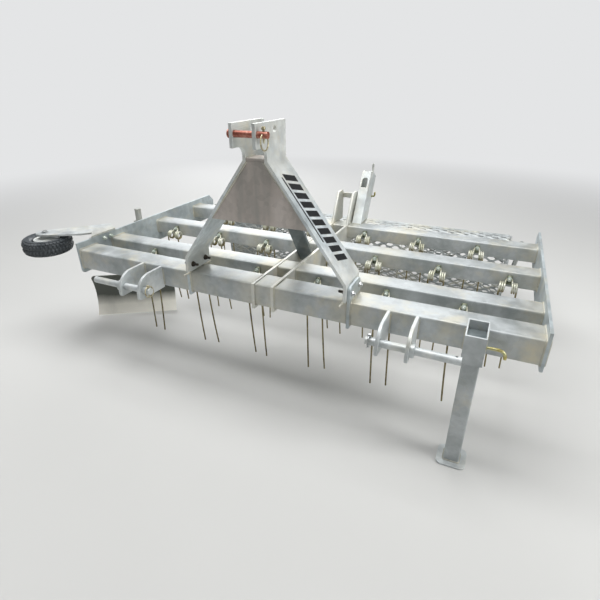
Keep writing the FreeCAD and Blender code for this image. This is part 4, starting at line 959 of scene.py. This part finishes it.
DOME = 5 * MM
low, high = corners("stand_pin")
mid_y, pin_z = (low[1] + high[1]) / 2, high[2] - 6 * MM
stand_pin = bent_rod(Shape(), (low[0], mid_y, pin_z), -1, high[0] - low[0] - DOME, 24 * MM,
                     pin_z - low[2] - 25 * MM, 5.4)
turned(stand_pin, np.array([(9, 0), (9, 2)]) * MM, (low[0] + 4.6 * MM, mid_y, pin_z), "X", 24)
finish_piece("stand_pin_bent", stand_pin, yellow_zinc, "stand_pin")

low, high = corners("adjuster_pin")
start_point = (low[0], (low[1] + high[1]) / 2, low[2] + 6 * MM)
adjuster_pin = bent_rod(Shape(), start_point, 1, high[0] - low[0] - DOME, 11 * MM,
                        high[2] - low[2] - 18 * MM, 5)
finish_piece("adjuster_pin_bent", adjuster_pin, yellow_zinc, "adjuster_pin")

# %% [markdown]
# ## Bolts and nuts
# Bolts hold the arms' feet to the ears, the wheel bracket to the side plate and the bearings
# to the roller's arms. Those of the feet are zinc plated too, but all except two on the right
# are coloured near black as painted shade.

# %% Bolts
EAR_BOLTS_Y, EAR_BOLTS_UP = (12 * MM, 98 * MM), 32 * MM
bright_bolts, painted_shade_bolts, nuts, bearing_bolts = (Shape() for _ in range(4))
for side, sign in SIDES:
    inner_x = corners("headstock_arm_" + side)[sign > 0][0] - sign * ARM_PLATE
    outer_x = corners("headstock_ear_" + side)[sign > 0][0]
    for y in EAR_BOLTS_Y:
        place = (FRONT + y, TOP + EAR_BOLTS_UP)
        bolt(painted_shade_bolts, (inner_x, *place), "X", -sign, 11, 16)
        bolt(painted_shade_bolts if sign < 0 else bright_bolts, (outer_x, *place), "X", sign, 11, 4)

bracket = corners("guide_wheel_bracket")[0]
plate_x = corners("side_plate_left")[1][0]
for y in (bracket[1] + 70 * MM, bracket[1] + 112 * MM):
    bolt(nuts, (plate_x, y, TOP + 12 * MM), "X", 1, 11, 8)
    bolt(nuts, (bracket[0], y, TOP + 12 * MM), "X", -1, 11)

BEARING_RADIUS, BEARING_INSET = 32 * MM, 8 * MM
for side, sign in SIDES:
    x = corners("roller_bearing_" + side)[sign > 0][0] - sign * BEARING_INSET
    for t in QUARTERS:
        bolt(bearing_bolts, (x, roller_centre[1] + BEARING_RADIUS * math.cos(t),
                             roller_centre[2] + BEARING_RADIUS * math.sin(t)), "X", sign, 8)

finish_piece("wheel_bracket_bolts", nuts, nut_zinc, slot="yellow_zinc_steel", sharp=35)
finish_piece("frame_bolts", bright_bolts, bright_zinc, slot="bright_zinc_steel", sharp=35)
finish_piece("foot_bolts", painted_shade_bolts, bolt_zinc_painted_shade, slot="bright_zinc_steel", sharp=35)
finish_piece("bearing_bolts", bearing_bolts, bright_zinc, body="roller_frame",
             slot="bright_zinc_steel", sharp=35)

# %% [markdown]
# ## Stripes on the arm
# The right arm carries plain slanted stripes of black film above one thin line. Each stripe is
# a very thin prism on the arm's sloping face, so it keeps its own edge thickness.

# %% Stripes
FILM, FILM_GAP = 0.25 * MM, 0.05 * MM
STRIPES, FIRST_STRIPE, STRIPE_STEP, STRIPE_WIDTH, SLANT = 10, 55, 37.2, 25.5, 22
down = np.array([foot - neck, 0, BEND_LOW - BEND_HIGH])
down /= np.linalg.norm(down)
outwards = np.array([-down[2], 0, down[0]])
rearwards = np.array([0, 1, 0])
neck_point = np.array([MIDDLE + neck, FRONT, BEND_HIGH])
# corners in millimetres: how far down the arm, and how far back from its front edge
quads = [[(a, 30), (a + STRIPE_WIDTH, 30), (a + STRIPE_WIDTH + SLANT, 104), (a + SLANT, 104)]
         for a in FIRST_STRIPE + np.arange(STRIPES) * STRIPE_STEP]
quads.append([(65, 12), (330, 12), (333, 20), (68, 20)])
stripes = Shape()
for quad in quads:
    flat = np.array(quad) * MM
    base = neck_point + flat[:, :1] * down + flat[:, 1:] * rearwards
    stripes.grid(np.stack([base + outwards * FILM_GAP, base + outwards * FILM]), caps=True)
finish_piece("arm_stripes", stripes, vinyl)

# %% [markdown]
# ## Floor, light and camera
# A pale floor that curves up far away all round gives an even background from every side.
# One broad lamp hangs overhead, level with the front of the harrow, so that the upper faces of
# the tubes are the brightest; one high up behind gives those faces their sheen. Another stands
# to the right, which is why plates that face that way come out nearly as pale, while the
# fronts of the tubes stay a middle grey. Far away the floor and the sky fade into one pale
# tone for the camera's own rays only, so the bright background puts no light on the harrow,
# which is lit by the lamps and a dimmer sky.

# %% Floor
FLAT, CURVE_REACH, CURVE_RISE, SPOKES = 9, 2, 0.25, 96
FADE_FROM, FADE_TO = 2.2, 6.5
BACKDROP = linear("#e4e5e6")
t = np.linspace(0, 1, 48)[1:] * math.pi / 2
radius = np.concatenate([np.linspace(0.02, FLAT, 24), FLAT + CURVE_REACH * np.sin(t)])
height = np.concatenate([np.zeros(24), CURVE_RISE - CURVE_RISE * np.cos(t)])
rings = laid(circle(radius, SPOKES), height, "Z")
floor_shape = Shape().grid(rings[::-1]).add(rings[0], np.arange(SPOKES)[None, :])
floor_material, tree, place = start("pale_studio_floor")
shader = tree.nodes["Principled BSDF"]
feed(tree, shader, {"Base Color": linear("#cbcbc9"), "Roughness": 0.9})
away = add(tree, "VectorMath", [place], "Value", operation="LENGTH")
fade = add(tree, "MapRange", [away, FADE_FROM, FADE_TO], interpolation_type="SMOOTHSTEP")
camera_ray = add(tree, "LightPath", output="Is Camera Ray")
fade = add(tree, "Math", [fade, camera_ray], operation="MULTIPLY")
glow = add(tree, "Emission", [BACKDROP, 1.0])
feed(tree, tree.nodes["Material Output"],
     {"Surface": add(tree, "MixShader", [fade, shader.outputs[0], glow])})
floor = put("floor", floor_shape.mesh("floor"))
floor.data.materials.append(floor_material)
print("floor:", len(floor.data.polygons), "faces, flat to", FLAT, "m")

# %% Lamps and world
# place, target, width and length in metres, power in watts, colour in linear light
LAMPS = {
    "overhead": ((-0.6, -0.7, 4.2), (-0.2, -0.4, 0.5), (4.4, 2.4), 175, (1, 1, 1)),
    "high_rear": ((-1.9, 4.2, 2.9), (-0.2, -0.3, 0.5), (6.2, 2.6), 170, (0.98, 0.99, 1)),
    "right_side": ((4.6, -0.7, 2.3), (0, -0.1, 0.7), (2.4, 2.0), 115, (1, 1, 0.99)),
}
for name, (place, target, size, power, colour) in LAMPS.items():
    data = bpy.data.lights.new(name, "AREA")
    data.shape = "RECTANGLE"
    data.size, data.size_y = size
    data.energy = power
    data.color = colour
    # a lamp shines along its own -z, so z points from the target back to the lamp
    back = np.array(place) - np.array(target)
    side = unit(np.cross((0.001, 1, 0), back))
    turn = np.stack([side, unit(np.cross(back, side)), unit(back)], -1)
    lamp = put(name, data)
    lamp.matrix_world = Matrix.Translation(place) @ Matrix(turn.tolist()).to_4x4()
    print(name, power, "W")

world = bpy.data.worlds.new("studio")
bpy.context.scene.world = world
world.use_nodes = True
tree = world.node_tree
sky = tree.nodes["Background"]
feed(tree, sky, {"Color": linear("#e8eaeb"), "Strength": 0.26})
seen = add(tree, "Background", [BACKDROP, 1.0])
direct = add(tree, "Math", [add(tree, "LightPath", output="Is Camera Ray"),
                            add(tree, "LightPath", output="Is Transmission Ray")],
             operation="MAXIMUM")
feed(tree, tree.nodes["World Output"],
     {"Surface": add(tree, "MixShader", [direct, sky.outputs[0], seen])})

# %% Camera
YAW, CAMERA_PITCH, ROLL = math.radians(24.6055), math.radians(26.867), math.radians(-0.2788)
camera_data = bpy.data.cameras.new("camera")
camera_data.lens, camera_data.sensor_width = 25.936, 36
camera = put("camera", camera_data)
turn = (Matrix.Rotation(YAW, 4, "Z") @ Matrix.Rotation(math.pi / 2 - CAMERA_PITCH, 4, "X")
        @ Matrix.Rotation(ROLL, 4, "Z"))
stand_point = (MIDDLE + 0.7765, FRONT - 1.3417, TOP + 0.7175)
camera.matrix_world = Matrix.Translation(stand_point) @ turn
bpy.context.scene.camera = camera
bpy.context.scene.view_settings.view_transform = "Standard"
print("camera at", [round(c, 3) for c in stand_point])
